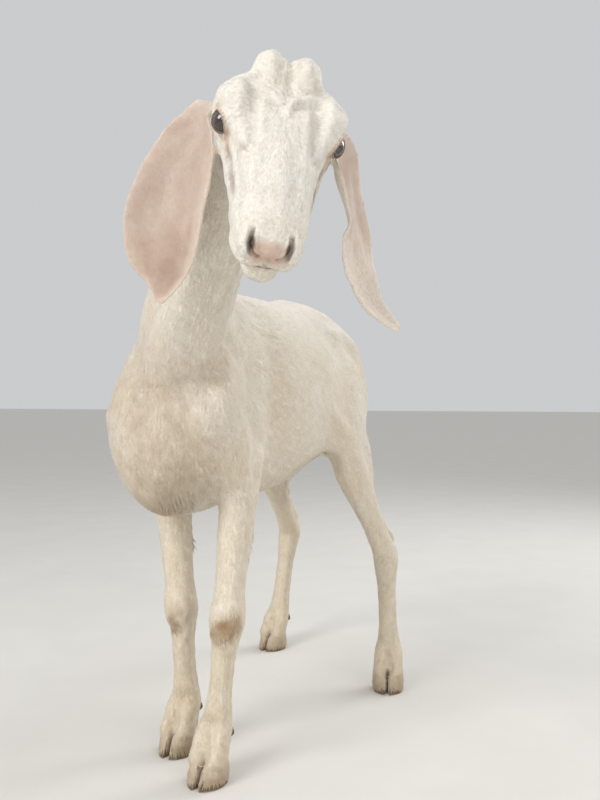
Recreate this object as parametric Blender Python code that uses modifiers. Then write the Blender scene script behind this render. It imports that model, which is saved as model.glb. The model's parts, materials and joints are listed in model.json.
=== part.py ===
"""A standing long-eared goat at life size, as a still museum model.

The goat faces -Y with its left side towards +X and stands on z = 0.  Oval lofts
and ellipsoids give the flesh, a voxel remesh joins them, smoothing rounds the
places where limbs meet the trunk, and thin round cuts part the body into its
named pieces.  Ears, eyes, hooves and dewclaws are pieces of their own.
"""

import math

import bmesh
import bpy
from mathutils import Matrix, Vector

# --- Driving dimensions, in metres ------------------------------------------------
GAP = 0.0003                # clearance between neighbouring pieces
VOXEL = 0.004               # grain of the remesh that joins the flesh
FLESH_TRIANGLES = 4400      # triangles left in the joined flesh
BLADE_SIDES = 24            # sides of the round blades that part the flesh

BACK_HEIGHT = 0.770         # floor to the top of the loin
CHEST_SHIFT = -0.012        # the chest leans to the right as the neck goes left
PELVIS_SHIFT = 0.004

HEAD_CENTRE = Vector((0.281, -0.274, 0.8715))   # midway between the eyes
HEAD_YAW = math.radians(36.5)                   # turned to the left
HEAD_ROLL = math.radians(8.6)                   # left side of the head lower
HEAD_PITCH = math.radians(53.4)                 # nose below the horizontal

EYE_RADIUS = 0.0145
EYE_OUT = 0.0600            # eye centre from the head's middle plane
EYE_UP = 0.030
EYE_AHEAD = -0.007
HEAD_CENTRE_UP = 0.022      # height of HEAD_CENTRE over the long axis of the skull

EAR_THICKNESS = 0.0045
EAR_ROOT = Vector((0.046, 0.054, 0.008))        # left ear's stalk inside the skull
EAR_STALK_WIDTH = 0.014
EAR_STALK_CUP = 0.010
EAR_COLUMNS = 7             # lines of points across an ear

CLAW_LENGTH = 0.064
CLAW_WIDTH = 0.027
CLAW_TOE_HEIGHT = 0.036
CLAW_HEEL_HEIGHT = 0.021
CLAW_SLOPE = 0.013          # how far the toe runs ahead of the coronet
CLAW_SOLE_IN = 0.13         # share of the claw's width that is its flat inner side
CLAW_TOE_TAPER = 0.42
CLAW_NARROWING = 0.07       # how much narrower the coronet is than the sole
CLAW_SHORTENING = 0.06
CLEFT = 0.005               # gap between the two claws of a foot
CORONET_REACH = 0.055       # half the size of the cutter that frees the claws
FETLOCK_HEIGHT = 0.078
FETLOCK_BEHIND = 0.026      # the fetlock sits this far behind the foot's centre
DEWCLAW_ROOT = Vector((0.0145, 0.041, 0.066))
DEWCLAW_LENGTH = 0.015
DEWCLAW_RADII = (0.0085, 0.0050)

SIDES = {"left": 1, "right": -1}

# Where each hoof stands, its yaw, and the joints above it.  The hind feet are set
# wide apart, and the left fore foot is a little ahead of the right one.
FORE_POSE = {
    "left": {
        "hoof": Vector((0.050, -0.037, 0.0)),
        "yaw": math.radians(-4),
        "knee": Vector((0.074, -0.018, 0.242)),
        "elbow": Vector((0.078, 0.020, 0.440)),
        "shoulder": Vector((0.076, -0.070, 0.560)),
        "blade": Vector((0.030, 0.045, 0.730)),
    },
    "right": {
        "hoof": Vector((-0.050, 0.037, 0.0)),
        "yaw": math.radians(-4),
        "knee": Vector((-0.046, 0.044, 0.236)),
        "elbow": Vector((-0.072, 0.062, 0.435)),
        "shoulder": Vector((-0.077, -0.040, 0.550)),
        "blade": Vector((-0.048, 0.060, 0.725)),
    },
}
HIND_POSE = {
    "left": {
        "hoof": Vector((0.176, 0.452, 0.0)),
        "yaw": math.radians(14),
        "hock": Vector((0.160, 0.487, 0.262)),
        "stifle": Vector((0.108, 0.350, 0.500)),
        "hip": Vector((0.064, 0.470, 0.665)),
    },
    "right": {
        "hoof": Vector((-0.154, 0.605, 0.0)),
        "yaw": math.radians(-12),
        "hock": Vector((-0.130, 0.652, 0.270)),
        "stifle": Vector((-0.104, 0.446, 0.488)),
        "hip": Vector((-0.060, 0.486, 0.660)),
    },
}

COLOURS = {
    "coat": (0.80, 0.74, 0.64, 1.0),
    "ear": (0.74, 0.64, 0.56, 1.0),
    "eye": (0.10, 0.09, 0.07, 1.0),
    "horn": (0.20, 0.15, 0.11, 1.0),
}
ROUGHNESS = {"coat": 0.85, "ear": 0.80, "eye": 0.15, "horn": 0.55}
METALLIC = 0.0


# --- Scene helpers ----------------------------------------------------------------
def clear_scene():
    for obj in list(bpy.data.objects):
        bpy.data.objects.remove(obj)


def make_collection(name, hidden=False):
    collection = bpy.data.collections.new(name)
    bpy.context.scene.collection.children.link(collection)
    collection.hide_render = hidden
    return collection


def make_material(name, slot):
    material = bpy.data.materials.new(f"{name}_{slot}")
    material.use_nodes = True
    shader = material.node_tree.nodes["Principled BSDF"]
    shader.inputs["Base Color"].default_value = COLOURS[slot]
    shader.inputs["Roughness"].default_value = ROUGHNESS[slot]
    shader.inputs["Metallic"].default_value = METALLIC
    return material


def add_object(name, bm, collection):
    mesh = bpy.data.meshes.new(name)
    bm.to_mesh(mesh)
    bm.free()
    obj = bpy.data.objects.new(name, mesh)
    obj.display_type = "WIRE"
    collection.objects.link(obj)
    return obj


def evaluated_copy(obj, name, collection):
    """A plain mesh object holding obj with its modifiers applied."""
    graph = bpy.context.evaluated_depsgraph_get()
    mesh = bpy.data.meshes.new_from_object(obj.evaluated_get(graph))
    mesh.name = name
    made = bpy.data.objects.new(name, mesh)
    made.display_type = "WIRE"
    collection.objects.link(made)
    return made


def finish_piece(obj, slot, place, stand):
    """Makes obj one of the goat's pieces: its own frame, its material, and its parent."""
    obj.data.transform(place.inverted())
    obj.location = place.to_translation()
    obj.rotation_euler = place.to_euler()
    obj.parent = stand
    obj.display_type = "TEXTURED"
    obj.data.materials.clear()
    obj.data.materials.append(make_material(obj.name, slot))


# --- Building blocks --------------------------------------------------------------
def spline(before, start, end, after, t):
    """Catmull-Rom value between start and end."""
    return 0.5 * (
        2 * start
        + (end - before) * t
        + (2 * before - 5 * start + 4 * end - after) * t * t
        + (3 * start - before - 3 * end + after) * t * t * t
    )


def refined(stations, steps):
    """Stations with smooth ones added between them.  A station is a list of values."""
    out = []
    last = len(stations) - 1
    for i in range(last):
        around = [stations[max(i - 1, 0)], stations[i], stations[i + 1], stations[min(i + 2, last)]]
        for k in range(steps):
            out.append([spline(*values, k / steps) for values in zip(*around)])
    out.append(list(stations[last]))
    return out


def bridge(bm, rings):
    """Faces between rings of vertices that have the same count, and a cap on each end."""
    count = len(rings[0])
    for lower, upper in zip(rings, rings[1:]):
        for j in range(count):
            k = (j + 1) % count
            bm.faces.new((lower[j], lower[k], upper[k], upper[j]))
    bm.faces.new(list(reversed(rings[0])))
    bm.faces.new(rings[-1])
    bmesh.ops.recalc_face_normals(bm, faces=bm.faces)


def loft(name, stations, side, collection, points=28, steps=5):
    """A closed oval tube.  Each station is (centre, half width, ahead, behind, squareness).

    Half width runs along side.  Ahead and behind are the reach on the two other
    faces: ahead is towards (side x direction of travel).
    """
    bm = bmesh.new()
    rows = refined([list(s) for s in stations], steps)
    rings = []
    for i, (centre, width, ahead, behind, square) in enumerate(rows):
        travel = (rows[min(i + 1, len(rows) - 1)][0] - rows[max(i - 1, 0)][0]).normalized()
        front = side.cross(travel).normalized()
        across = travel.cross(front).normalized()
        power = 2.0 / square
        ring = []
        for j in range(points):
            angle = 2 * math.pi * j / points
            c, s = math.cos(angle), math.sin(angle)
            x = width * math.copysign(abs(c) ** power, c)
            y = (ahead if s > 0 else behind) * math.copysign(abs(s) ** power, s)
            ring.append(bm.verts.new(centre + across * x + front * y))
        rings.append(ring)
    bridge(bm, rings)
    return add_object(name, bm, collection)


def ellipsoid(name, matrix, centre, radii, collection, tilt=(0, 0, 0)):
    bm = bmesh.new()
    turn = Matrix.Rotation(math.radians(tilt[2]), 4, "Z")
    turn = turn @ Matrix.Rotation(math.radians(tilt[1]), 4, "Y")
    turn = turn @ Matrix.Rotation(math.radians(tilt[0]), 4, "X")
    place = matrix @ Matrix.Translation(centre) @ turn @ Matrix.Diagonal((*radii, 1.0))
    bmesh.ops.create_uvsphere(bm, u_segments=20, v_segments=12, radius=1.0, matrix=place)
    return add_object(name, bm, collection)


def head_matrix():
    turn = Matrix.Rotation(HEAD_YAW, 4, "Z")
    turn = turn @ Matrix.Rotation(HEAD_ROLL, 4, "Y")
    turn = turn @ Matrix.Rotation(HEAD_PITCH, 4, "X")
    return Matrix.Translation(HEAD_CENTRE) @ turn @ Matrix.Translation((0, 0, -HEAD_CENTRE_UP))


# --- Flesh of the trunk, neck and tail --------------------------------------------
def trunk(guides):
    """The barrel from the breast to the buttocks: y, height of the widest level,
    half width, reach up and reach down."""
    top = BACK_HEIGHT
    rows = [
        # y, sideways, widest z, half width, up, down, squareness
        (-0.128, CHEST_SHIFT, 0.565, 0.040, 0.050, 0.055, 2.0),
        (-0.100, CHEST_SHIFT, 0.560, 0.074, 0.100, 0.118, 2.0),
        (-0.050, CHEST_SHIFT, 0.555, 0.094, 0.165, 0.155, 2.0),
        (0.010, CHEST_SHIFT, 0.550, 0.100, top - 0.552, 0.156, 2.0),
        (0.090, CHEST_SHIFT / 2, 0.555, 0.110, top - 0.560, 0.150, 2.1),
        (0.180, 0.0, 0.555, 0.124, top - 0.563, 0.146, 2.1),
        (0.270, 0.0, 0.560, 0.130, top - 0.567, 0.142, 2.1),
        (0.350, 0.0, 0.575, 0.122, top - 0.577, 0.128, 2.1),
        (0.420, PELVIS_SHIFT, 0.600, 0.106, top - 0.598, 0.112, 2.1),
        (0.490, PELVIS_SHIFT, 0.625, 0.096, top - 0.634, 0.105, 2.0),
        (0.550, PELVIS_SHIFT, 0.632, 0.084, 0.102, 0.098, 2.0),
        (0.595, PELVIS_SHIFT, 0.628, 0.066, 0.068, 0.072, 2.0),
        (0.618, PELVIS_SHIFT, 0.624, 0.034, 0.034, 0.036, 2.0),
    ]
    stations = [(Vector((x, y, z)), w, up, down, sq) for y, x, z, w, up, down, sq in rows]
    loft("guide_trunk", stations, Vector((1, 0, 0)), guides, points=36)


def neck_ends(head):
    return Vector((CHEST_SHIFT, 0.0, 0.620)), head @ Vector((0, 0.062, -0.012))


def neck(guides, head):
    """From the chest up and to the left, into the underside of the skull."""
    base, poll = neck_ends(head)
    rows = [
        # along, sag towards the breast, half width, throat side, crest side
        (-0.12, 0.000, 0.078, 0.120, 0.130),
        (0.05, 0.004, 0.076, 0.118, 0.118),
        (0.25, 0.010, 0.068, 0.098, 0.096),
        (0.45, 0.010, 0.060, 0.080, 0.078),
        (0.65, 0.004, 0.055, 0.068, 0.066),
        (0.85, -0.002, 0.052, 0.062, 0.056),
        (1.02, -0.004, 0.046, 0.052, 0.044),
    ]
    head_side = (head.to_3x3() @ Vector((1, 0, 0))).normalized()
    side = Vector((1, 0.25, 0)).lerp(head_side, 0.35).normalized()
    stations = []
    for along, sag, width, throat, crest in rows:
        centre = base.lerp(poll, along)
        bend = math.sin(math.pi * min(max(along, 0), 1))
        centre += Vector((-0.020 * bend, -0.012 * bend - sag, 0))
        stations.append((centre, width, throat, crest, 2.0))
    loft("guide_neck", stations, side, guides, points=32)


def tail(guides):
    """Short and broad, hanging close behind the rump."""
    root = Vector((PELVIS_SHIFT, 0.578, 0.712))
    rows = [
        # back, up, half width, half depth
        (0.000, 0.000, 0.026, 0.018),
        (0.030, 0.004, 0.025, 0.014),
        (0.055, -0.009, 0.027, 0.012),
        (0.070, -0.036, 0.030, 0.011),
        (0.077, -0.070, 0.025, 0.010),
        (0.080, -0.104, 0.009, 0.006),
    ]
    stations = [(root + Vector((0, back, up)), w, d, d, 2.0) for back, up, w, d in rows]
    loft("guide_tail", stations, Vector((1, 0, 0)), guides, points=16)


# --- Flesh of the head ------------------------------------------------------------
def skull(guides, head):
    """The arched face from the poll to the nose, and the jaw under it."""
    face = [
        # y, z, half width, up, down, squareness
        (0.094, -0.002, 0.034, 0.034, 0.036, 2.0),
        (0.074, 0.004, 0.052, 0.052, 0.050, 2.3),
        (0.040, 0.006, 0.061, 0.061, 0.062, 2.6),
        (0.005, 0.004, 0.060, 0.059, 0.060, 2.6),
        (-0.030, -0.002, 0.054, 0.058, 0.052, 2.5),
        (-0.065, -0.010, 0.048, 0.056, 0.044, 2.5),
        (-0.100, -0.016, 0.0435, 0.048, 0.036, 2.5),
        (-0.125, -0.020, 0.040, 0.040, 0.031, 2.5),
        (-0.142, -0.024, 0.036, 0.029, 0.025, 2.4),
        (-0.155, -0.028, 0.026, 0.015, 0.014, 2.2),
    ]
    jaw = [
        (0.056, -0.044, 0.036, 0.030, 0.036, 2.0),
        (0.020, -0.050, 0.037, 0.030, 0.034, 2.0),
        (-0.030, -0.052, 0.031, 0.022, 0.026, 2.0),
        (-0.080, -0.054, 0.027, 0.018, 0.022, 2.0),
        (-0.120, -0.054, 0.025, 0.016, 0.020, 2.0),
        (-0.140, -0.050, 0.017, 0.010, 0.013, 2.0),
    ]
    side = (head.to_3x3() @ Vector((-1, 0, 0))).normalized()
    for name, rows in (("guide_face", face), ("guide_jaw", jaw)):
        stations = [(head @ Vector((0, y, z)), w, up, down, sq) for y, z, w, up, down, sq in rows]
        loft(name, stations[::-1], -side, guides, points=32)


def head_forms(guides, head):
    """Paired lumps on the skull, given for the left side: centre, radii, tilt."""
    paired = {
        "boss": ((0.0200, 0.052, 0.062), (0.0195, 0.030, 0.025), (20, 0, 0)),
        "brow": ((0.047, 0.022, 0.046), (0.024, 0.034, 0.022), (0, 25, 0)),
        "orbit": ((0.054, 0.004, 0.028), (0.023, 0.027, 0.024), (0, 0, 0)),
        "cheekbone": ((0.041, 0.010, -0.006), (0.015, 0.046, 0.014), (8, 0, -8)),
        "masseter": ((0.034, 0.030, -0.036), (0.018, 0.036, 0.036), (0, 0, 0)),
        "nostril": ((0.0175, -0.140, -0.014), (0.017, 0.018, 0.017), (-20, 0, 0)),
        "lip": ((0.019, -0.134, -0.032), (0.016, 0.022, 0.014), (0, 0, 0)),
        "ear_base": ((0.054, 0.052, 0.006), (0.020, 0.019, 0.021), (0, 0, 0)),
    }
    single = {
        "poll": ((0, 0.070, 0.030), (0.034, 0.030, 0.022)),
        "chin": ((0, -0.130, -0.060), (0.022, 0.018, 0.014)),
        "throat": ((0, 0.062, -0.034), (0.038, 0.036, 0.040)),
    }
    for name, (centre, radii, tilt) in paired.items():
        for side in SIDES.values():
            place = Vector((centre[0] * side, centre[1], centre[2]))
            turn = (tilt[0], tilt[1] * side, tilt[2] * side)
            ellipsoid("guide_" + name, head, place, radii, guides, turn)
    for name, (centre, radii) in single.items():
        ellipsoid("guide_" + name, head, Vector(centre), radii, guides)


# --- Flesh of the legs ------------------------------------------------------------
def foot_matrix(pose):
    return Matrix.Translation(pose["hoof"]) @ Matrix.Rotation(pose["yaw"], 4, "Z")


def fetlock_of(pose):
    return foot_matrix(pose) @ Vector((0, FETLOCK_BEHIND, FETLOCK_HEIGHT))


def limb(name, joints, rows, guides):
    """A limb through its joints.  Each row is (joint index, share of the way to the
    next joint, half width, ahead, behind, step forward, squareness)."""
    stations = []
    for index, share, width, ahead, behind, forward, square in rows:
        end = joints[min(index + 1, len(joints) - 1)]
        centre = joints[index].lerp(end, share) + Vector((0, -forward, 0))
        stations.append((centre, width, ahead, behind, square))
    loft(name, stations, Vector((-1, 0, 0)), guides, points=24)


def digits(label, pose, guides):
    """The two toes under the fetlock, down to the claws."""
    foot = foot_matrix(pose)
    for side in SIDES.values():
        out = CLEFT / 2 + CLAW_WIDTH / 2
        rows = [
            (0.010 * side, 0.026, 0.080, 0.016, 0.020, 0.020),
            (0.0125 * side, 0.014, 0.060, 0.015, 0.019, 0.019),
            (out * side, 0.005, 0.038, 0.0128, 0.021, 0.021),
            (out * side, 0.003, 0.024, 0.0120, 0.0225, 0.024),
            (out * side, 0.003, 0.008, 0.0110, 0.021, 0.021),
        ]
        stations = [(foot @ Vector((x, y, z)), w, a, b, 2.2) for x, y, z, w, a, b in rows]
        across = (foot.to_3x3() @ Vector((-1, 0, 0))).normalized()
        loft("guide_digit_" + label, stations, across, guides, points=16)


def foreleg(label, pose, guides):
    shoulder_blade = [pose["blade"], pose["shoulder"], pose["elbow"]]
    limb("guide_shoulder_" + label, shoulder_blade, [
        (0, 0.00, 0.020, 0.040, 0.040, 0.0, 2.0),
        (0, 0.35, 0.032, 0.052, 0.058, 0.0, 2.0),
        (0, 0.75, 0.040, 0.052, 0.070, 0.0, 2.0),
        (1, 0.00, 0.042, 0.046, 0.070, 0.0, 2.0),
        (1, 0.50, 0.038, 0.046, 0.056, 0.0, 2.0),
        (2, 0.00, 0.030, 0.040, 0.040, 0.0, 2.0),
    ], guides)
    fetlock = fetlock_of(pose)
    arm_top = pose["elbow"] + Vector((0, 0.006, 0.060))
    limb("guide_arm_" + label, [arm_top, pose["elbow"], pose["knee"], fetlock], [
        (0, 0.00, 0.034, 0.050, 0.046, 0.004, 2.0),
        (1, 0.00, 0.031, 0.042, 0.040, 0.004, 2.0),
        (1, 0.25, 0.0275, 0.034, 0.034, 0.004, 2.0),
        (1, 0.55, 0.0245, 0.028, 0.028, 0.002, 2.0),
        (1, 0.80, 0.0235, 0.025, 0.025, 0.000, 2.1),
        (1, 0.94, 0.0265, 0.028, 0.026, 0.000, 2.2),
        (2, 0.03, 0.0270, 0.028, 0.027, 0.000, 2.3),
        (2, 0.16, 0.0225, 0.021, 0.024, 0.000, 2.2),
        (2, 0.35, 0.0175, 0.0175, 0.020, 0.000, 2.1),
        (2, 0.65, 0.0170, 0.0170, 0.020, 0.000, 2.1),
        (2, 0.86, 0.0205, 0.0190, 0.022, 0.000, 2.1),
        (3, 0.00, 0.0240, 0.0220, 0.025, 0.000, 2.1),
    ], guides)
    digits("fore_" + label, pose, guides)


def hindleg(label, pose, guides):
    side = SIDES[label]
    pin = Vector((pose["hip"].x * 0.75, 0.588, 0.640))
    limb("guide_thigh_" + label, [pose["hip"], pose["stifle"]], [
        (0, -0.20, 0.030, 0.060, 0.060, -0.02, 2.0),
        (0, 0.15, 0.044, 0.085, 0.085, -0.02, 2.0),
        (0, 0.50, 0.046, 0.082, 0.100, -0.03, 2.0),
        (0, 0.85, 0.042, 0.060, 0.088, -0.02, 2.0),
        (1, 0.00, 0.036, 0.042, 0.070, -0.01, 2.0),
    ], guides)
    buttock_end = pose["stifle"].lerp(pose["hock"], 0.45)
    limb("guide_buttock_" + label, [pin, buttock_end], [
        (0, -0.10, 0.024, 0.030, 0.024, 0.00, 2.0),
        (0, 0.30, 0.036, 0.054, 0.036, 0.00, 2.0),
        (0, 0.65, 0.034, 0.048, 0.036, 0.00, 2.0),
        (1, 0.00, 0.026, 0.032, 0.030, 0.00, 2.0),
    ], guides)
    fetlock = fetlock_of(pose)
    limb("guide_gaskin_" + label, [pose["stifle"], pose["hock"], fetlock], [
        (0, -0.10, 0.034, 0.044, 0.050, 0.004, 2.0),
        (0, 0.12, 0.034, 0.042, 0.052, 0.004, 2.0),
        (0, 0.40, 0.028, 0.033, 0.042, 0.002, 2.0),
        (0, 0.68, 0.0215, 0.024, 0.030, 0.000, 2.0),
        (0, 0.88, 0.0215, 0.024, 0.026, 0.000, 2.1),
        (1, 0.00, 0.0240, 0.027, 0.027, 0.000, 2.2),
        (1, 0.14, 0.0230, 0.023, 0.024, 0.000, 2.2),
        (1, 0.35, 0.0180, 0.0180, 0.0195, 0.000, 2.1),
        (1, 0.70, 0.0175, 0.0175, 0.0195, 0.000, 2.1),
        (1, 0.88, 0.0205, 0.0190, 0.022, 0.000, 2.1),
        (2, 0.00, 0.0235, 0.0215, 0.024, 0.000, 2.1),
    ], guides)
    point_of_hock = pose["hock"] + Vector((0, 0.025, 0.030))
    tendon_top = pose["stifle"].lerp(pose["hock"], 0.50) + Vector((0, 0.030, 0.004))
    limb("guide_tendon_" + label, [pose["hock"], point_of_hock, tendon_top], [
        (0, 0.00, 0.014, 0.016, 0.016, 0.0, 2.0),
        (0, 0.60, 0.0125, 0.013, 0.014, 0.0, 2.0),
        (1, 0.00, 0.0110, 0.011, 0.012, 0.0, 2.0),
        (1, 0.35, 0.0085, 0.009, 0.009, 0.0, 2.0),
        (2, 0.00, 0.0140, 0.012, 0.012, 0.0, 2.0),
    ], guides)
    hook = Vector((PELVIS_SHIFT + 0.070 * side, 0.430, 0.702))
    ellipsoid("guide_hook_" + label, Matrix(), hook, (0.026, 0.060, 0.034), guides, (0, 30 * side, 0))
    digits("hind_" + label, pose, guides)


# Each pair of legs: its poses, the joints at the ends of its upper part, and the share of
# the way between them where that part's origin lies.
LEGS = (
    ("fore", FORE_POSE, "elbow", "knee", 0.55),
    ("hind", HIND_POSE, "stifle", "hock", 0.60),
)
UPPER_PART = {"fore": "forearm", "hind": "gaskin"}


# --- Joining the flesh ------------------------------------------------------------
def blend_places(head):
    """Centres and radii of the places where parts run smoothly into each other."""
    places = [(Vector((CHEST_SHIFT, -0.03, 0.66)), 0.17), (head @ Vector((0, 0.08, -0.03)), 0.075)]
    places += [(Vector((CHEST_SHIFT, 0.03, 0.75)), 0.13)]
    for pose in FORE_POSE.values():
        places += [(pose["shoulder"], 0.10), (pose["elbow"], 0.075), (pose["blade"], 0.12)]
    for pose in HIND_POSE.values():
        places += [(pose["hip"], 0.16), (pose["stifle"], 0.11)]
        places += [(pose["stifle"].lerp(pose["hock"], 0.4), 0.06)]
        places += [(Vector((pose["hip"].x * 1.2, 0.430, 0.710)), 0.10)]
    places += [(Vector((0, 0.28, 0.60)), 0.26)]
    places += [(head @ Vector((0.040 * side, 0.034, 0.060)), 0.036) for side in SIDES.values()]
    places += [(head @ Vector((0, 0.034, 0.062)), 0.030)]
    return places


def joined_flesh(guides, workshop, head):
    """One closed body from all the guides, smoothed where parts meet."""
    bm = bmesh.new()
    for guide in guides.objects:
        bm.from_mesh(guide.data)
    rough = add_object("flesh_rough", bm, workshop)
    remesh = rough.modifiers.new("Join", "REMESH")
    remesh.mode = "VOXEL"
    remesh.voxel_size = VOXEL
    flesh = evaluated_copy(rough, "flesh", workshop)
    bpy.data.objects.remove(rough)

    places = blend_places(head)
    blend = flesh.vertex_groups.new(name="blend")
    for vertex in flesh.data.vertices:
        weight = max(1 - (vertex.co - centre).length / radius for centre, radius in places)
        if weight > 0:
            blend.add([vertex.index], min(1.0, 2.2 * weight), "REPLACE")
    soften = flesh.modifiers.new("Soften joins", "SMOOTH")
    soften.vertex_group = blend.name
    soften.factor = 0.6
    soften.iterations = 40
    polish = flesh.modifiers.new("Polish", "SMOOTH")
    polish.factor = 0.5
    polish.iterations = 4
    thin = flesh.modifiers.new("Thin out", "DECIMATE")
    thin.use_collapse_triangulate = True
    thin.ratio = FLESH_TRIANGLES / (2.0 * len(flesh.data.polygons))
    made = evaluated_copy(flesh, "flesh_body", workshop)
    bpy.data.objects.remove(flesh)
    return made


# --- Parting the flesh ------------------------------------------------------------
def disc_cutter(centre, normal, radius, depth, collection):
    """A thin round blade."""
    bm = bmesh.new()
    turn = normal.to_track_quat("Z", "Y").to_matrix().to_4x4()
    bmesh.ops.create_cone(
        bm, cap_ends=True, segments=BLADE_SIDES, radius1=radius, radius2=radius, depth=depth,
        matrix=Matrix.Translation(centre) @ turn,
    )
    return add_object("blade", bm, collection)


def cut_places(head):
    """Blades between the named parts: centre, normal and radius."""
    cuts = []
    neck_base, poll = neck_ends(head)
    cuts.append((neck_base.lerp(poll, 0.80), (poll - neck_base).normalized(), 0.088))
    cuts.append((Vector((0.030, -0.062, 0.690)), Vector((0.42, -0.52, 0.80)).normalized(), 0.155))
    cuts.append((Vector((PELVIS_SHIFT, 0.616, 0.714)), Vector((0, 1.0, 0.10)).normalized(), 0.040))
    for pose in FORE_POSE.values():
        fetlock = fetlock_of(pose)
        shin = (pose["knee"] - fetlock).normalized()
        cuts.append((pose["elbow"] + Vector((0, -0.004, -0.050)), Vector((0, 0.1, 1)).normalized(), 0.060))
        cuts.append((pose["knee"] - shin * 0.034, shin, 0.036))
        cuts.append((fetlock + shin * 0.022, shin, 0.036))
    for pose in HIND_POSE.values():
        fetlock = fetlock_of(pose)
        shank = (pose["hock"] - fetlock).normalized()
        thigh_end = pose["stifle"].lerp(pose["hock"], 0.34) + Vector((0, 0.014, 0))
        cuts.append((thigh_end, Vector((0, -0.25, 1)).normalized(), 0.098))
        cuts.append((pose["hock"] - shank * 0.036, shank, 0.040))
        cuts.append((fetlock + shank * 0.022, shank, 0.036))
    return cuts


def turned_to(point, pose):
    """The frame at point with the yaw of the foot under it."""
    return Matrix.Translation(point) @ Matrix.Rotation(pose["yaw"], 4, "Z")


def flesh_places(head):
    """The frame of each named part of the flesh, with its origin inside the part."""
    places = {
        "head": head,
        "neck": Matrix.Translation((0.110, -0.125, 0.760)),
        "trunk": Matrix.Translation((0, 0.20, 0.60)),
        "tail": Matrix.Translation((PELVIS_SHIFT, 0.650, 0.660)),
    }
    for kind, poses, upper, bend, share in LEGS:
        for label, pose in poses.items():
            stem = f"{kind}leg_{label}_"
            fetlock = fetlock_of(pose)
            middle = pose[upper].lerp(pose[bend], share)
            places[stem + UPPER_PART[kind]] = turned_to(middle, pose)
            places[stem + "cannon"] = turned_to(pose[bend].lerp(fetlock, 0.55), pose)
            places[stem + "foot"] = turned_to(fetlock + Vector((0, -0.006, -0.020)), pose)
    return places


def islands(bm):
    """The separate bodies of a mesh, each as a set of vertices."""
    left = set(bm.verts)
    found = []
    while left:
        seed = left.pop()
        island, edge_of = {seed}, [seed]
        while edge_of:
            for edge in edge_of.pop().link_edges:
                for vertex in edge.verts:
                    if vertex in left:
                        left.discard(vertex)
                        island.add(vertex)
                        edge_of.append(vertex)
        found.append(island)
    return found


def boolean_cut(obj, cutters, name, collection):
    """obj with every cutter taken away, as a plain mesh.  obj and the cutters go."""
    bm = bmesh.new()
    for cutter in cutters:
        bm.from_mesh(cutter.data)
        bpy.data.objects.remove(cutter)
    tool = add_object("cutter", bm, collection)
    tool.hide_render = True
    cut = obj.modifiers.new("Cut", "BOOLEAN")
    cut.operation = "DIFFERENCE"
    cut.object = tool
    made = evaluated_copy(obj, name, collection)
    bpy.data.objects.remove(obj)
    bpy.data.objects.remove(tool)
    return made


def part_flesh(flesh, cutters, workshop, goat, stand, head):
    """Cuts the flesh with the blades and names each piece by the origin inside it."""
    blades = [disc_cutter(c, n, r, 2 * GAP, workshop) for c, n, r in cut_places(head)]
    cut = boolean_cut(flesh, blades + cutters, "flesh_cut", workshop)
    bm = bmesh.new()
    bm.from_mesh(cut.data)
    bmesh.ops.triangulate(bm, faces=bm.faces)
    pieces = islands(bm)
    places = flesh_places(head)
    taken = {}
    for name, place in places.items():
        point = place.to_translation()
        taken[name] = min(pieces, key=lambda piece: min((v.co - point).length for v in piece))
    for name, piece in taken.items():
        single = bm.copy()
        keep = {v.index for v in piece}
        others = [v for v in single.verts if v.index not in keep]
        bmesh.ops.delete(single, geom=others, context="VERTS")
        obj = add_object(name, single, goat)
        obj.data.shade_smooth()
        finish_piece(obj, "coat", places[name], stand)
    bm.free()
    bpy.data.objects.remove(cut)
    if len({id(piece) for piece in taken.values()}) != len(pieces) or len(pieces) != len(places):
        raise RuntimeError("the blades left some named parts joined")


# --- Claws, eyes and ears ---------------------------------------------------------
def claw_top(y):
    """Height of the coronet at y, measured from the foot's centre, toe at -Y."""
    share = 0.5 - y / CLAW_LENGTH
    return CLAW_HEEL_HEIGHT + (CLAW_TOE_HEIGHT - CLAW_HEEL_HEIGHT) * share


def claw(name, pose, side, goat):
    """A half-moon horn shoe: flat inside, round outside, pointed at the toe."""
    foot = foot_matrix(pose)
    bm = bmesh.new()
    levels, around = 4, 12
    rings = []
    for level in range(levels):
        lift = level / (levels - 1)
        ring = []
        for j in range(around):
            angle = 2 * math.pi * j / around
            along, out = -math.cos(angle), math.sin(angle)
            taper = 1 - CLAW_TOE_TAPER * max(-along, 0) ** 2.2 if out > 0 else 1
            outer = (1 - CLAW_SOLE_IN) * max(out, 0) ** 0.8 * taper
            inner = 0.12 * min(out, 0)
            shrink = 1 - CLAW_NARROWING * lift
            x = CLEFT / 2 + (CLAW_SOLE_IN + outer + inner) * CLAW_WIDTH * shrink
            y = along * CLAW_LENGTH / 2 * (1 - CLAW_SHORTENING * lift)
            y += CLAW_SLOPE * lift * (1 - along) / 2
            z = lift * claw_top(y)
            ring.append(bm.verts.new(foot @ Vector((x * side, y, z))))
        rings.append(ring)
    bridge(bm, rings)
    return add_object(name, bm, goat)


def coronet_cutter(pose, workshop):
    """Everything under the slanted coronet of a foot, to free the flesh from the claws."""
    foot = foot_matrix(pose)
    bm = bmesh.new()
    bmesh.ops.create_cube(bm, size=1.0)
    for vertex in bm.verts:
        x, y = vertex.co.x * 2 * CORONET_REACH, vertex.co.y * 2 * CORONET_REACH
        top = claw_top(y) + GAP
        vertex.co = foot @ Vector((x, y, top if vertex.co.z > 0 else -0.05))
    return add_object("coronet_cutter", bm, workshop)


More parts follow.
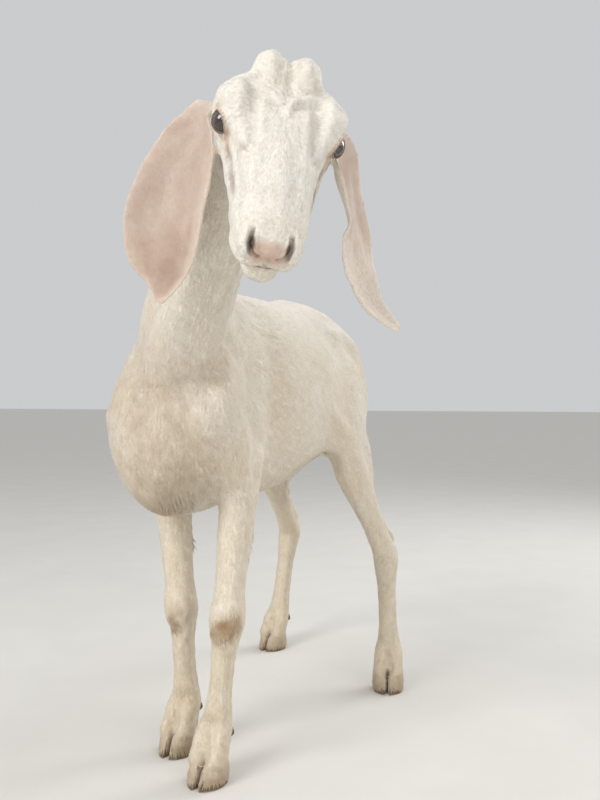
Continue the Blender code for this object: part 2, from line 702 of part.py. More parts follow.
def dewclaw_shape(pose, side, grow):
    """A small blunt cone behind the fetlock."""
    foot = foot_matrix(pose)
    root = foot @ Vector((DEWCLAW_ROOT.x * side, DEWCLAW_ROOT.y, DEWCLAW_ROOT.z))
    aim = (foot.to_3x3() @ Vector((0.20 * side, 0.45, -0.87))).normalized()
    turn = aim.to_track_quat("Z", "Y").to_matrix().to_4x4()
    bm = bmesh.new()
    bmesh.ops.create_cone(
        bm, cap_ends=True, segments=8, radius1=DEWCLAW_RADII[0] + grow,
        radius2=DEWCLAW_RADII[1] + grow, depth=DEWCLAW_LENGTH + 2 * grow,
        matrix=Matrix.Translation(root) @ turn,
    )
    return bm


def eye_matrix(head, side):
    """The frame of an eye, with its Z out of the side of the head."""
    place = head @ Matrix.Translation((EYE_OUT * side, EYE_AHEAD, EYE_UP))
    return place @ Matrix.Rotation(math.radians(90), 4, "Y")


def eye_shape(head, side, grow):
    bm = bmesh.new()
    bmesh.ops.create_uvsphere(
        bm, u_segments=14, v_segments=8, radius=EYE_RADIUS + grow, matrix=eye_matrix(head, side)
    )
    return bm


# Stations down each ear in the goat's frame, from a root on the side of the head: the
# midrib, the half width, the way from the front edge to the back one, and the cupping.
EARS = {
    "left": {
        "root": Vector((0.330, -0.214, 0.880)),
        "rows": [
            (Vector((0.000, 0.000, 0.000)), 0.020, Vector((0.20, 0.93, 0.24)), 0.010),
            (Vector((0.004, 0.006, -0.036)), 0.040, Vector((-0.03, 0.97, 0.24)), 0.014),
            (Vector((0.012, 0.024, -0.090)), 0.047, Vector((-0.16, 0.97, 0.21)), 0.012),
            (Vector((0.013, 0.026, -0.124)), 0.050, Vector((0.00, 0.98, 0.17)), 0.008),
            (Vector((0.018, 0.022, -0.162)), 0.042, Vector((0.12, 0.98, 0.12)), 0.008),
            (Vector((0.034, 0.026, -0.194)), 0.024, Vector((0.25, 0.96, 0.09)), 0.006),
            (Vector((0.062, 0.041, -0.223)), 0.006, Vector((0.54, 0.84, 0.05)), 0.002),
        ],
    },
    "right": {
        "root": Vector((0.188, -0.278, 0.913)),
        "rows": [
            (Vector((0.000, 0.000, 0.000)), 0.020, Vector((-0.96, 0.20, 0.20)), 0.010),
            (Vector((-0.018, -0.001, -0.042)), 0.043, Vector((-0.99, 0.03, 0.14)), 0.016),
            (Vector((-0.040, -0.001, -0.092)), 0.052, Vector((-0.99, -0.02, 0.10)), 0.018),
            (Vector((-0.055, 0.002, -0.136)), 0.055, Vector((-1.00, -0.06, 0.07)), 0.018),
            (Vector((-0.058, 0.006, -0.172)), 0.046, Vector((-1.00, -0.06, 0.06)), 0.014),
            (Vector((-0.061, 0.010, -0.200)), 0.024, Vector((-1.00, -0.02, 0.05)), 0.007),
            (Vector((-0.067, 0.007, -0.222)), 0.006, Vector((-1.00, -0.02, 0.02)), 0.002),
        ],
    },
}


def ear(label, head, workshop):
    """A long, cupped, hanging blade that grows from a rolled stalk in the skull."""
    plan = EARS[label]
    side = SIDES[label]
    root = plan["root"]
    inside = head @ Vector((EAR_ROOT.x * side, EAR_ROOT.y, EAR_ROOT.z))
    first = plan["rows"][0]
    stations = [(inside, EAR_STALK_WIDTH, first[2], EAR_STALK_CUP)]
    stations += [(root + step, width, across, cup) for step, width, across, cup in plan["rows"]]
    rows = refined(stations, 2)
    bm = bmesh.new()
    grid = []
    for i, (centre, width, across, cup) in enumerate(rows):
        travel = (rows[min(i + 1, len(rows) - 1)][0] - rows[max(i - 1, 0)][0]).normalized()
        across = (across - travel * across.dot(travel)).normalized()
        hollow = travel.cross(across) * side
        line = []
        for j in range(EAR_COLUMNS):
            v = 2 * j / (EAR_COLUMNS - 1) - 1
            bend = hollow * (cup * (v * v - 0.4))
            line.append(bm.verts.new(centre + across * (width * v) + bend))
        grid.append(line)
    for lower, upper in zip(grid, grid[1:]):
        for j in range(EAR_COLUMNS - 1):
            bm.faces.new((lower[j], lower[j + 1], upper[j + 1], upper[j]))
    blade = add_object("ear_sheet", bm, workshop)
    shell = blade.modifiers.new("Thickness", "SOLIDIFY")
    shell.thickness = EAR_THICKNESS
    shell.offset = 0.0
    made = evaluated_copy(blade, "ear_raw", workshop)
    bpy.data.objects.remove(blade)
    return made


def keep_largest(obj):
    """Drops crumbs that a cut leaves beside the main body."""
    bm = bmesh.new()
    bm.from_mesh(obj.data)
    bmesh.ops.triangulate(bm, faces=bm.faces)
    pieces = sorted(islands(bm), key=len)
    crumbs = [vertex for piece in pieces[:-1] for vertex in piece]
    bmesh.ops.delete(bm, geom=crumbs, context="VERTS")
    bm.to_mesh(obj.data)
    bm.free()


def swollen(obj, amount, collection):
    """A copy of obj with its skin pushed out, to cut a neighbour back with a gap."""
    made = evaluated_copy(obj, obj.name + "_swollen", collection)
    normals = [vertex.normal.copy() for vertex in made.data.vertices]
    for vertex, normal in zip(made.data.vertices, normals):
        vertex.co += normal * amount
    return made


# --- Assembly ---------------------------------------------------------------------
def add_ears(flesh, workshop, goat, stand, head):
    for label, side in SIDES.items():
        raw = ear(label, head, workshop)
        body = swollen(flesh, GAP, workshop)
        eye = add_object("eye_space", eye_shape(head, side, GAP), workshop)
        trimmed = boolean_cut(raw, [body], "ear_trimmed", workshop)
        made = boolean_cut(trimmed, [eye], "ear_" + label, goat)
        keep_largest(made)
        finish_piece(made, "ear", Matrix.Translation(EARS[label]["root"]), stand)


def add_eyes(workshop, goat, stand, head):
    """The eyes, and what cuts their sockets."""
    cutters = []
    for label, side in SIDES.items():
        eye = add_object("eye_" + label, eye_shape(head, side, 0), goat)
        eye.data.shade_smooth()
        finish_piece(eye, "eye", eye_matrix(head, side), stand)
        cutters.append(add_object("socket", eye_shape(head, side, GAP), workshop))
    return cutters


def add_claws(workshop, goat, stand):
    """Hooves and dewclaws, and what cuts their places in the flesh."""
    cutters = []
    for kind, poses, _, _, _ in LEGS:
        for label, pose in poses.items():
            stem = f"{kind}leg_{label}_"
            foot = foot_matrix(pose)
            cutters.append(coronet_cutter(pose, workshop))
            for where, side in (("outer", SIDES[label]), ("inner", -SIDES[label])):
                hoof = claw(stem + "hoof_" + where, pose, side, goat)
                finish_piece(hoof, "horn", foot, stand)
                dewclaw = add_object(stem + "dewclaw_" + where, dewclaw_shape(pose, side, 0), goat)
                finish_piece(dewclaw, "horn", foot, stand)
                cutters.append(add_object("dewclaw_cut", dewclaw_shape(pose, side, GAP), workshop))
    return cutters


def centre_on_floor(goat, stand):
    """Moves the stand so that the middle of the goat's footprint box is the origin."""
    pieces = [obj for obj in goat.objects if obj.type == "MESH"]
    corners = [obj.matrix_basis @ vertex.co for obj in pieces for vertex in obj.data.vertices]
    low = Vector(min(c[i] for c in corners) for i in range(3))
    high = Vector(max(c[i] for c in corners) for i in range(3))
    stand.location = (-(low.x + high.x) / 2, -(low.y + high.y) / 2, 0)


def build_goat():
    clear_scene()
    goat = make_collection("goat")
    guides = make_collection("guides", hidden=True)
    workshop = make_collection("workshop", hidden=True)
    stand = bpy.data.objects.new("goat_place", None)
    goat.objects.link(stand)
    head = head_matrix()

    trunk(guides)
    neck(guides, head)
    tail(guides)
    skull(guides, head)
    head_forms(guides, head)
    for label, pose in FORE_POSE.items():
        foreleg(label, pose, guides)
    for label, pose in HIND_POSE.items():
        hindleg(label, pose, guides)
    flesh = joined_flesh(guides, workshop, head)

    add_ears(flesh, workshop, goat, stand, head)
    cutters = add_eyes(workshop, goat, stand, head)
    cutters += add_claws(workshop, goat, stand)
    part_flesh(flesh, cutters, workshop, goat, stand, head)
    for helper in list(guides.objects) + list(workshop.objects):
        bpy.data.objects.remove(helper)
    centre_on_floor(goat, stand)


build_goat()
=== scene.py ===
"""Skin, coat, eyes and hooves of a standing long-eared goat, modelled around its frame.

One skin covers the flesh.  Short tufts of hair lie over it, longer where a goat's
coat is longer: on the brisket, the elbows, the backs of the thighs and the tail.
Skin and hair read the same markings, which are painted on the skin's points by place.
"""

import json
import math

import bmesh
import bpy
import numpy as np
from mathutils import Matrix, Vector
from mathutils.bvhtree import BVHTree

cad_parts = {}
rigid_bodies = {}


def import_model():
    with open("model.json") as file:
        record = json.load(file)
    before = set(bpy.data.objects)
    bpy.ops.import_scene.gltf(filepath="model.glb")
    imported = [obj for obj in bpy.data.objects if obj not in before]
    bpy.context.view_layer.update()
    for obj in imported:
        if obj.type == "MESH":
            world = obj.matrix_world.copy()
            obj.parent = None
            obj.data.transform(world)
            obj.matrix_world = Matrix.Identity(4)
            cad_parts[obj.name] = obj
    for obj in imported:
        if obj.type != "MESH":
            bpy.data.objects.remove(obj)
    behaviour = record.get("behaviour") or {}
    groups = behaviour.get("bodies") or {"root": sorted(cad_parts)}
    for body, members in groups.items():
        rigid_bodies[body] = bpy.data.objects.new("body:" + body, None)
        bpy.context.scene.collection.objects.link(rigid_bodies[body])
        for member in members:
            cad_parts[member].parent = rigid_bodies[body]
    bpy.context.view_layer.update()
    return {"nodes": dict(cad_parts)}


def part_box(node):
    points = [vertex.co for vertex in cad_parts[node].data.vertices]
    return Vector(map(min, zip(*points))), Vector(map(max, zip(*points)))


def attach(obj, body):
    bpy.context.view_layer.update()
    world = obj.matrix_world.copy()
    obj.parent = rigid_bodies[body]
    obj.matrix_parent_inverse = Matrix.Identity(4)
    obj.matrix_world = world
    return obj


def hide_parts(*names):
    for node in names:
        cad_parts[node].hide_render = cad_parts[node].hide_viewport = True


bl_info = {
    "name": "Standing Goat",
    "version": (1, 0, 0),
    "blender": (4, 5, 0),
    "location": "3D View > Sidebar > Goat",
    "description": "Skin, coat, eyes and hooves of a life-size standing goat",
    "category": "Add Mesh",
}

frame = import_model()

SIDES = {"left": 1, "right": -1}
MM = 0.001


# --- Where things are ---------------------------------------------------------------
def middle(node):
    low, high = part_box(node)
    return (low + high) / 2


# The head is turned to the left, rolled a little, and its nose points down.
HEAD_TURN = (
    Matrix.Rotation(math.radians(36.5), 4, "Z")
    @ Matrix.Rotation(math.radians(8.6), 4, "Y")
    @ Matrix.Rotation(math.radians(53.4), 4, "X")
)
EYE_OUT, EYE_AHEAD, EYE_UP = 0.060, -0.007, 0.030     # eye centre in the head's own frame
EYE_RADIUS = 0.0145
BETWEEN_EYES = (middle("eye_left") + middle("eye_right")) / 2
HEAD = Matrix.Translation(BETWEEN_EYES) @ HEAD_TURN @ Matrix.Translation((0, -EYE_AHEAD, -EYE_UP))

# Body points are given from the floor point midway between the fore feet.
CHEST_POINT = Vector((0.281, -0.274, 0.8715)) + HEAD_TURN @ Vector((0, EYE_AHEAD, 0.008))
PLACE = BETWEEN_EYES - CHEST_POINT


def body(x, y, z):
    return Vector((x, y, z)) + PLACE


# Joints of each leg from the top down, and the yaw of the foot in degrees.
LEGS = {
    "foreleg_left": (
        (0.078, 0.020, 0.440), (0.074, -0.018, 0.242), (0.052, -0.011, 0.078),
        (0.050, -0.037, 0.0), -4,
    ),
    "foreleg_right": (
        (-0.072, 0.062, 0.435), (-0.046, 0.044, 0.236), (-0.048, 0.063, 0.078),
        (-0.050, 0.037, 0.0), -4,
    ),
    "hindleg_left": (
        (0.108, 0.350, 0.500), (0.160, 0.487, 0.262), (0.170, 0.477, 0.078),
        (0.176, 0.452, 0.0), 14,
    ),
    "hindleg_right": (
        (-0.104, 0.446, 0.488), (-0.130, 0.652, 0.270), (-0.149, 0.630, 0.078),
        (-0.154, 0.605, 0.0), -12,
    ),
}
UPPER = {"foreleg": "forearm", "hindleg": "gaskin"}
FLESH = ["head", "neck", "trunk", "tail"]
for leg in LEGS:
    FLESH += [f"{leg}_{UPPER[leg[:7]]}", f"{leg}_cannon", f"{leg}_foot"]
EARS = ["ear_left", "ear_right"]
EAR_FACING = {"ear_left": (0.93, 0.10, 0.10), "ear_right": (-0.25, -0.95, 0.05)}       # the hollow side
EAR_ACROSS = {"ear_left": (-0.10, 0.99, 0.0), "ear_right": (0.97, -0.25, 0.0)}

# The columns of PARTS say how far the skin lies under the flesh's outline, the length and
# width of a tuft and the height of its middle over the skin, all in millimetres, how many
# tufts grow on a square centimetre, how often the skin's facets are smoothed out, as a
# share of the most, and the area of the skin's faces in square millimetres.
SUNK, LENGTH, WIDTH, LIFT, DENSITY, SMOOTHED, FACE_AREA = range(7)
PARTS = {
    "head": (0.8, 6.5, 1.30, 0.45, 22.0, 0.10, 3.0),
    "neck": (1.8, 17.0, 2.0, 1.05, 11.0, 0.80, 17.0),
    "trunk": (2.0, 19.0, 2.2, 1.20, 9.6, 1.00, 20.0),
    "tail": (3.0, 30.0, 2.6, 2.20, 14.0, 0.30, 8.0),
    "ear": (0.6, 5.0, 1.1, 0.30, 15.0, 0.12, 6.0),
    "forearm": (0.9, 13.0, 1.8, 0.95, 13.0, 0.18, 8.0),
    "gaskin": (1.0, 14.0, 1.9, 1.00, 12.0, 0.24, 9.0),
    "cannon": (0.2, 9.0, 1.5, 0.90, 17.0, 0.10, 6.5),
    "foot": (0.2, 9.0, 1.4, 0.90, 18.0, 0.08, 5.0),
}
PART_NAMES = list(PARTS)


def part_of(node):
    return "ear" if node in EARS else node.split("_")[-1]


# --- Strokes that shape the skin ------------------------------------------------------
# Each stroke is a path over the skin, its reach, and how far it raises the skin, in
# metres.  Head strokes are in the head's own frame: x to the goat's left, -y to the
# nose, z to the forehead.  Those marked as paired are made on both sides.
HEAD_FORMS = [
    # paired, reach, height, path
    (1, 0.012, -0.0040,
     [(0.036, 0.034, 0.068), (0.037, 0.005, 0.062), (0.036, -0.030, 0.052),
      (0.035, -0.055, 0.042)]),
    (1, 0.010, 0.0036,
     [(0.052, 0.020, 0.062), (0.049, -0.005, 0.058), (0.046, -0.026, 0.048),
      (0.042, -0.046, 0.037)]),
    (1, 0.016, 0.0030, [(0.062, 0.022, 0.050), (0.060, 0.006, 0.052)]),
    (1, 0.016, 0.0048,
     [(0.052, -0.030, 0.040), (0.058, -0.014, 0.052), (0.062, 0.006, 0.052),
      (0.063, 0.018, 0.040)]),
    (1, 0.015, 0.0036,
     [(0.063, 0.018, 0.030), (0.060, 0.008, 0.014), (0.056, -0.010, 0.008),
      (0.052, -0.026, 0.014)]),
    (1, 0.011, 0.0024,
     [(0.026, -0.004, 0.062), (0.028, -0.034, 0.056), (0.030, -0.064, 0.046),
      (0.031, -0.105, 0.028)]),
    (1, 0.013, -0.0028, [(0.046, -0.052, 0.022), (0.042, -0.080, 0.018), (0.039, -0.108, 0.008)]),
    (1, 0.012, 0.0032, [(0.055, 0.002, 0.002), (0.051, -0.028, -0.004), (0.046, -0.058, -0.010)]),
    (1, 0.016, -0.0045, [(0.050, -0.020, -0.022), (0.044, -0.048, -0.028), (0.038, -0.078, -0.030)]),
    (1, 0.020, 0.0035, [(0.046, 0.036, -0.020), (0.042, 0.022, -0.048)]),
    (1, 0.014, -0.0040, [(0.060, 0.030, 0.022), (0.058, 0.040, 0.012)]),
    (0, 0.013, 0.0050, [(0.001, 0.082, 0.060), (0.001, 0.064, 0.074), (0.002, 0.046, 0.075)]),
    (0, 0.008, -0.0030, [(0.001, 0.070, 0.072), (0.002, 0.035, 0.074), (0.003, 0.014, 0.066)]),
    (1, 0.012, 0.0022, [(0.034, 0.058, 0.074), (0.036, 0.042, 0.072)]),
    (0, 0.016, 0.0015, [(0.000, -0.060, 0.048), (0.000, -0.120, 0.026)]),
    (1, 0.011, 0.0032, [(0.027, -0.140, 0.002), (0.0295, -0.149, -0.008), (0.025, -0.156, -0.018)]),
    (0, 0.014, 0.0022, [(0.000, -0.156, -0.006), (0.000, -0.158, -0.016)]),
    (1, 0.010, 0.0026, [(0.012, -0.155, -0.030), (0.024, -0.147, -0.030), (0.033, -0.125, -0.028)]),
    (0, 0.010, 0.0016, [(0.014, -0.146, -0.052), (0.000, -0.150, -0.052), (-0.014, -0.146, -0.052)]),
    (1, 0.013, -0.0030, [(0.026, -0.100, -0.062), (0.022, -0.070, -0.070)]),
]
HEAD_FOLDS = [
    (1, 0.0065, 0.0024,
     [(0.006, 0.005, 0.063), (0.014, 0.011, 0.066), (0.027, 0.016, 0.067), (0.037, 0.022, 0.066)]),
    (1, 0.0075, -0.0026, [(0.010, -0.002, 0.062), (0.022, 0.004, 0.064), (0.036, 0.010, 0.065)]),
    (0, 0.0060, 0.0024, [(0.001, -0.014, 0.061), (0.003, -0.003, 0.063), (0.010, 0.008, 0.065)]),
    (1, 0.0035, -0.0012, [(0.024, 0.020, 0.072), (0.031, 0.026, 0.070), (0.036, 0.034, 0.068)]),
    (1, 0.0035, 0.0012, [(0.040, -0.040, 0.041), (0.037, -0.050, 0.040), (0.034, -0.056, 0.041)]),
    (1, 0.0032, -0.0012, [(0.042, -0.050, 0.034), (0.037, -0.058, 0.036), (0.032, -0.062, 0.039)]),
    (1, 0.0055, -0.0022,
     [(0.056, -0.024, 0.016), (0.052, -0.040, 0.012), (0.049, -0.056, 0.010),
      (0.0455, -0.078, 0.004)]),
    (1, 0.0040, 0.0014, [(0.052, -0.030, 0.024), (0.049, -0.048, 0.020), (0.046, -0.066, 0.016)]),
    (1, 0.0046, -0.0078,
     [(0.0215, -0.1440, 0.002), (0.0232, -0.1530, -0.006), (0.0195, -0.1580, -0.0145),
      (0.0120, -0.1600, -0.0195)]),
    (1, 0.0034, 0.0016,
     [(0.0165, -0.1470, 0.000), (0.0165, -0.1550, -0.008), (0.0125, -0.1590, -0.014)]),
    (0, 0.0032, -0.0024, [(0.000, -0.159, -0.018), (0.000, -0.159, -0.030), (0.000, -0.154, -0.040)]),
    (1, 0.0036, -0.0046,
     [(0.000, -0.156, -0.0415), (0.013, -0.151, -0.0415), (0.025, -0.137, -0.040),
      (0.034, -0.116, -0.038), (0.039, -0.094, -0.034)]),
    (1, 0.0026, -0.0010, [(0.031, -0.128, -0.010), (0.030, -0.140, -0.022), (0.026, -0.148, -0.030)]),
    (1, 0.0026, -0.0010, [(0.035, -0.118, -0.010), (0.034, -0.130, -0.022), (0.031, -0.139, -0.030)]),
    (1, 0.0026, -0.0009, [(0.012, -0.156, -0.026), (0.013, -0.154, -0.036)]),
    (1, 0.0030, -0.0010, [(0.040, -0.098, -0.020), (0.038, -0.108, -0.030)]),
]
BODY_FORMS = [
    (1, 0.028, 0.0045, [(0.052, 0.050, 0.735), (0.090, 0.015, 0.655), (0.096, -0.030, 0.585)]),
    (1, 0.032, -0.0075, [(0.075, 0.098, 0.735), (0.112, 0.088, 0.640), (0.118, 0.078, 0.540)]),
    (1, 0.030, -0.0070, [(0.040, -0.030, 0.752), (0.078, -0.066, 0.670), (0.088, -0.098, 0.580)]),
    (1, 0.032, 0.0050, [(0.098, 0.040, 0.560), (0.096, 0.046, 0.500)]),
    (1, 0.022, -0.0050, [(0.100, 0.000, 0.520), (0.098, 0.010, 0.460)]),
    (1, 0.020, 0.0040, [(0.080, -0.096, 0.560), (0.082, -0.080, 0.540)]),
    (1, 0.048, -0.0100, [(0.100, 0.330, 0.700), (0.106, 0.370, 0.680)]),
    (1, 0.066, -0.0130, [(0.080, 0.428, 0.732), (0.094, 0.462, 0.696)]),
    (1, 0.058, 0.0075, [(0.032, 0.330, 0.766), (0.042, 0.410, 0.762), (0.044, 0.440, 0.756)]),
    (1, 0.058, -0.0120,
     [(0.108, 0.490, 0.655), (0.114, 0.502, 0.590), (0.122, 0.507, 0.510), (0.124, 0.505, 0.450)]),
    (1, 0.062, -0.0050, [(0.078, 0.440, 0.708), (0.090, 0.476, 0.676)]),
    (1, 0.060, -0.0110, [(0.070, 0.230, 0.445), (0.080, 0.290, 0.452), (0.085, 0.330, 0.462)]),
    (0, 0.040, -0.0095, [(0.084, 0.320, 0.455), (0.098, 0.330, 0.460)]),
    (0, 0.034, -0.0100, [(-0.080, 0.400, 0.455), (-0.094, 0.410, 0.460)]),
    (0, 0.080, -0.0070, [(-0.008, 0.120, 0.772), (-0.004, 0.240, 0.770)]),
    (0, 0.055, -0.0060, [(-0.010, 0.030, 0.778), (-0.010, 0.050, 0.776)]),
    (0, 0.050, 0.0070, [(-0.006, -0.030, 0.780), (0.006, -0.055, 0.795)]),
    (1, 0.022, 0.0050, [(0.112, 0.330, 0.520), (0.118, 0.300, 0.545), (0.116, 0.270, 0.560)]),
    (1, 0.026, -0.0050, [(0.104, 0.450, 0.680), (0.122, 0.470, 0.600), (0.126, 0.470, 0.520)]),
    (1, 0.024, -0.0045, [(0.085, 0.545, 0.640), (0.105, 0.540, 0.560), (0.118, 0.520, 0.480)]),
    (0, 0.022, -0.0080, [(-0.012, -0.136, 0.590), (-0.012, -0.130, 0.520), (-0.012, -0.110, 0.450)]),
    (0, 0.016, 0.0025,
     [(-0.010, 0.040, 0.775), (-0.004, 0.200, 0.772), (0.000, 0.350, 0.770),
      (0.004, 0.500, 0.755)]),
    (0, 0.022, -0.0070, [(0.004, 0.600, 0.640), (0.004, 0.590, 0.560), (0.004, 0.560, 0.520)]),
]
RIB_COUNT = 7


def neck_strokes():
    """Grooves and slack folds that follow the turned neck."""
    base = Vector((-0.012, 0.0, 0.620))
    poll = Vector((0.2216, -0.2272, 0.8430))
    along = poll - base
    left = Vector((0.80, 0.60, 0.0))
    strokes = []
    for side in (1, -1):
        beside = left * (0.062 * side) + Vector((0, 0, -0.030))
        path = [base + along * t + beside for t in (0.15, 0.4, 0.65, 0.85)]
        strokes.append((0, 0.022, -0.0050, path))
    for t in (0.55, 0.68, 0.80):
        centre = base + along * t
        fold = ((-0.045, -0.045, -0.02), (-0.010, -0.060, -0.05), (0.030, -0.040, -0.06))
        path = [centre + Vector(offset) for offset in fold]
        strokes.append((0, 0.010, -0.0022, path))
    return strokes


def rib_strokes():
    """Faint hollows between the last ribs."""
    strokes = []
    for i in range(RIB_COUNT):
        y = 0.130 + 0.026 * i
        path = [(0.100, y - 0.012, 0.690), (0.128, y + 0.004, 0.600), (0.118, y + 0.002, 0.520)]
        strokes.append((1, 0.012, -0.0011, path))
    return strokes


def leg_strokes(leg):
    """Bones, tendons and toes of one leg."""
    top, bend, fetlock, hoof = [Vector(p) for p in LEGS[leg][:4]]
    turn = Matrix.Rotation(math.radians(LEGS[leg][4]), 3, "Z")
    shank = fetlock - bend
    strokes = []

    def at(share, out, back, up=0.0):
        return bend + shank * share + turn @ Vector((out, back, up))

    def foot(out, back, up):
        return hoof + turn @ Vector((out, back, up))

    for side in (1, -1):
        # The tendon stands clear of the cannon bone behind.
        strokes.append((0, 0.0080, -0.0026, [at(t, 0.017 * side, 0.006) for t in (0.22, 0.45, 0.70, 0.86)]))
        strokes.append((0, 0.0090, 0.0012, [at(t, 0.004 * side, 0.021) for t in (0.25, 0.50, 0.80)]))
        # Toes part below the fetlock, and a soft band rings each hoof.
        band = ((0.026, 0.026, 0.028), (0.028, 0.0, 0.034), (0.016, -0.026, 0.040))
        strokes.append((0, 0.0060, 0.0014, [foot(out * side, back, up) for out, back, up in band]))
        knuckle = [foot(0.017 * side, 0.010, 0.070), foot(0.019 * side, 0.004, 0.060)]
        strokes.append((0, 0.010, 0.0016, knuckle))
    cleft = [foot(0, -0.006, 0.070), foot(0, -0.018, 0.056), foot(0, -0.022, 0.048)]
    strokes.append((0, 0.0085, -0.0042, cleft))
    strokes.append((0, 0.0070, -0.0030, [foot(0, 0.034, 0.056), foot(0, 0.038, 0.044)]))
    pastern = [foot(0.020, 0.002, 0.052), foot(0, -0.006, 0.056), foot(-0.020, 0.002, 0.052)]
    strokes.append((0, 0.0070, -0.0012, pastern))
    if leg.startswith("fore"):
        for up, height in ((0.022, 0.0026), (-0.004, -0.0016), (-0.022, 0.0022), (-0.040, -0.0020)):
            ring = [bend + turn @ Vector((out, -0.024, up)) for out in (-0.018, 0.0, 0.018)]
            strokes.append((0, 0.011, height, ring))
        behind = [bend + Vector((0, 0.026, 0.010)), bend + Vector((0, 0.028, -0.004))]
        strokes.append((0, 0.011, 0.0028, behind))
        for side in (1, -1):
            beside = Vector((0.026 * side, 0.012, 0))
            strokes.append((0, 0.012, -0.0026, [top.lerp(bend, t) + beside for t in (0.35, 0.55, 0.78)]))
    else:
        for side in (1, -1):
            # The hollow between the shin and the tendon that runs to the hock.
            path = [top.lerp(bend, t) + Vector((0.016 * side, 0.024, 0.008)) for t in (0.60, 0.75, 0.90)]
            strokes.append((0, 0.013, -0.0062, path))
            knob = ((0.022 * side, 0.0, -0.004), (0.021 * side, -0.004, -0.020))
            strokes.append((0, 0.010, 0.0020, [bend + Vector(offset) for offset in knob]))
        crease = [bend + Vector((0, -0.026, 0.002)), bend + Vector((0, -0.026, -0.008))]
        strokes.append((0, 0.012, -0.0018, crease))
    return strokes


# --- Mesh helpers -------------------------------------------------------------------
def deselect_all():
    for obj in bpy.context.view_layer.objects:
        obj.select_set(False)


def activate(obj):
    deselect_all()
    obj.select_set(True)
    bpy.context.view_layer.objects.active = obj


def edit_whole(obj):
    """Goes to edit mode with the whole of obj selected."""
    activate(obj)
    bpy.ops.object.mode_set(mode="EDIT")
    bpy.ops.mesh.select_all(action="SELECT")


def apply_modifier(obj, kind, **settings):
    activate(obj)
    bpy.ops.object.modifier_add(type=kind)
    modifier = obj.modifiers[-1]
    for key, value in settings.items():
        setattr(modifier, key, value)
    bpy.ops.object.modifier_apply(modifier=modifier.name)


def copy_of_node(node, name):
    """A closed copy of a frame node's mesh, as an object of its own."""
    obj = bpy.data.objects.new(name, frame["nodes"][node].data.copy())
    bpy.context.scene.collection.objects.link(obj)
    obj.data.materials.clear()
    bm = bmesh.new()
    bm.from_mesh(obj.data)
    bmesh.ops.remove_doubles(bm, verts=bm.verts, dist=1e-5)
    bmesh.ops.recalc_face_normals(bm, faces=bm.faces)
    bm.to_mesh(obj.data)
    bm.free()
    return obj


def points_of(mesh):
    points = np.empty(len(mesh.vertices) * 3, np.float32)
    mesh.vertices.foreach_get("co", points)
    return points.reshape(-1, 3).astype(np.float64)


def normals_of(mesh):
    normals = np.empty(len(mesh.vertices) * 3, np.float32)
    mesh.vertex_normals.foreach_get("vector", normals)
    return normals.reshape(-1, 3).astype(np.float64)


def set_points(mesh, points):
    mesh.vertices.foreach_set("co", points.astype(np.float32).ravel())
    mesh.update()


def edges_of(mesh):
    edges = np.empty(len(mesh.edges) * 2, np.int32)
    mesh.edges.foreach_get("vertices", edges)
    return edges.reshape(-1, 2)


def triangles_of(mesh):
    mesh.calc_loop_triangles()
    corners = np.empty(len(mesh.loop_triangles) * 3, np.int32)
    mesh.loop_triangles.foreach_get("vertices", corners)
    loops = np.empty(len(mesh.loop_triangles) * 3, np.int32)
    mesh.loop_triangles.foreach_get("loops", loops)
    return corners.reshape(-1, 3), loops.reshape(-1, 3)


def unit(vectors):
    return vectors / np.maximum(np.linalg.norm(vectors, axis=1, keepdims=True), 1e-9)


def spread(values, edges, count, times, share=0.5):
    """Values on a mesh's points, evened out with their neighbours' this many times."""
    neighbours = np.zeros(count)
    np.add.at(neighbours, edges.ravel(), 1)
    neighbours = np.maximum(neighbours, 1)
    values = values.reshape(count, -1).astype(np.float64)
    for _ in range(times):
        total = np.empty_like(values)
        for k in range(values.shape[1]):
            total[:, k] = np.bincount(edges[:, 0], values[edges[:, 1], k], count)
            total[:, k] += np.bincount(edges[:, 1], values[edges[:, 0], k], count)
        values += share * (total / neighbours[:, None] - values)
    return values


def smoothstep(x, low, high):
    t = np.clip((x - low) / (high - low), 0, 1)
    return t * t * (3 - 2 * t)


def waves(points, size, seed):
    """A smooth random-looking field from -1 to 1, with lumps about this size."""
    rng = np.random.default_rng(seed)
    total = np.zeros(len(points))
    for _ in range(6):
        way = rng.normal(size=3)
        way /= np.linalg.norm(way)
        total += np.sin(points @ way * (2 * math.pi / size) * rng.uniform(0.6, 1.5) + rng.uniform(0, 7))
    return np.clip(total / 3.0, -1, 1)


def in_frame(points, matrix):
    """Points seen in another frame."""
    inverse = np.array(matrix.inverted())
    return points @ inverse[:3, :3].T + inverse[:3, 3]


def surface_tree(mesh):
    corners, _ = triangles_of(mesh)
    return BVHTree.FromPolygons(points_of(mesh).tolist(), corners.tolist())


def ground_tree(skin):
    """What the hair lies on: the skin, and the horn that it hangs over."""
    corners, _ = triangles_of(skin.data)
    points, faces = points_of(skin.data).tolist(), corners.tolist()
    for leg in LEGS:
        for part in ("outer", "inner"):
            hoof = frame["nodes"][f"{leg}_hoof_{part}"].data
            corners, _ = triangles_of(hoof)
            faces += (corners + len(points)).tolist()
            points += points_of(hoof).tolist()
    return BVHTree.FromPolygons(points, faces)


def path_distance(points, path):
    best = np.full(len(points), 1e9)
    for start, end in zip(path[:-1], path[1:]):
        step = end - start
        share = np.clip((points - start) @ step / max(step @ step, 1e-12), 0, 1)
        best = np.minimum(best, np.linalg.norm(points - start - share[:, None] * step, axis=1))
    return best


def dense_path(path, tree):
    """Points along a path, each moved onto the surface."""
    dense = []
    for start, end in zip(path[:-1], path[1:]):
        steps = max(2, int((end - start).length / 0.004))
        dense += [start.lerp(end, k / steps) for k in range(steps)]
    dense.append(path[-1])
    return np.array([list(tree.find_nearest(point)[0]) for point in dense])


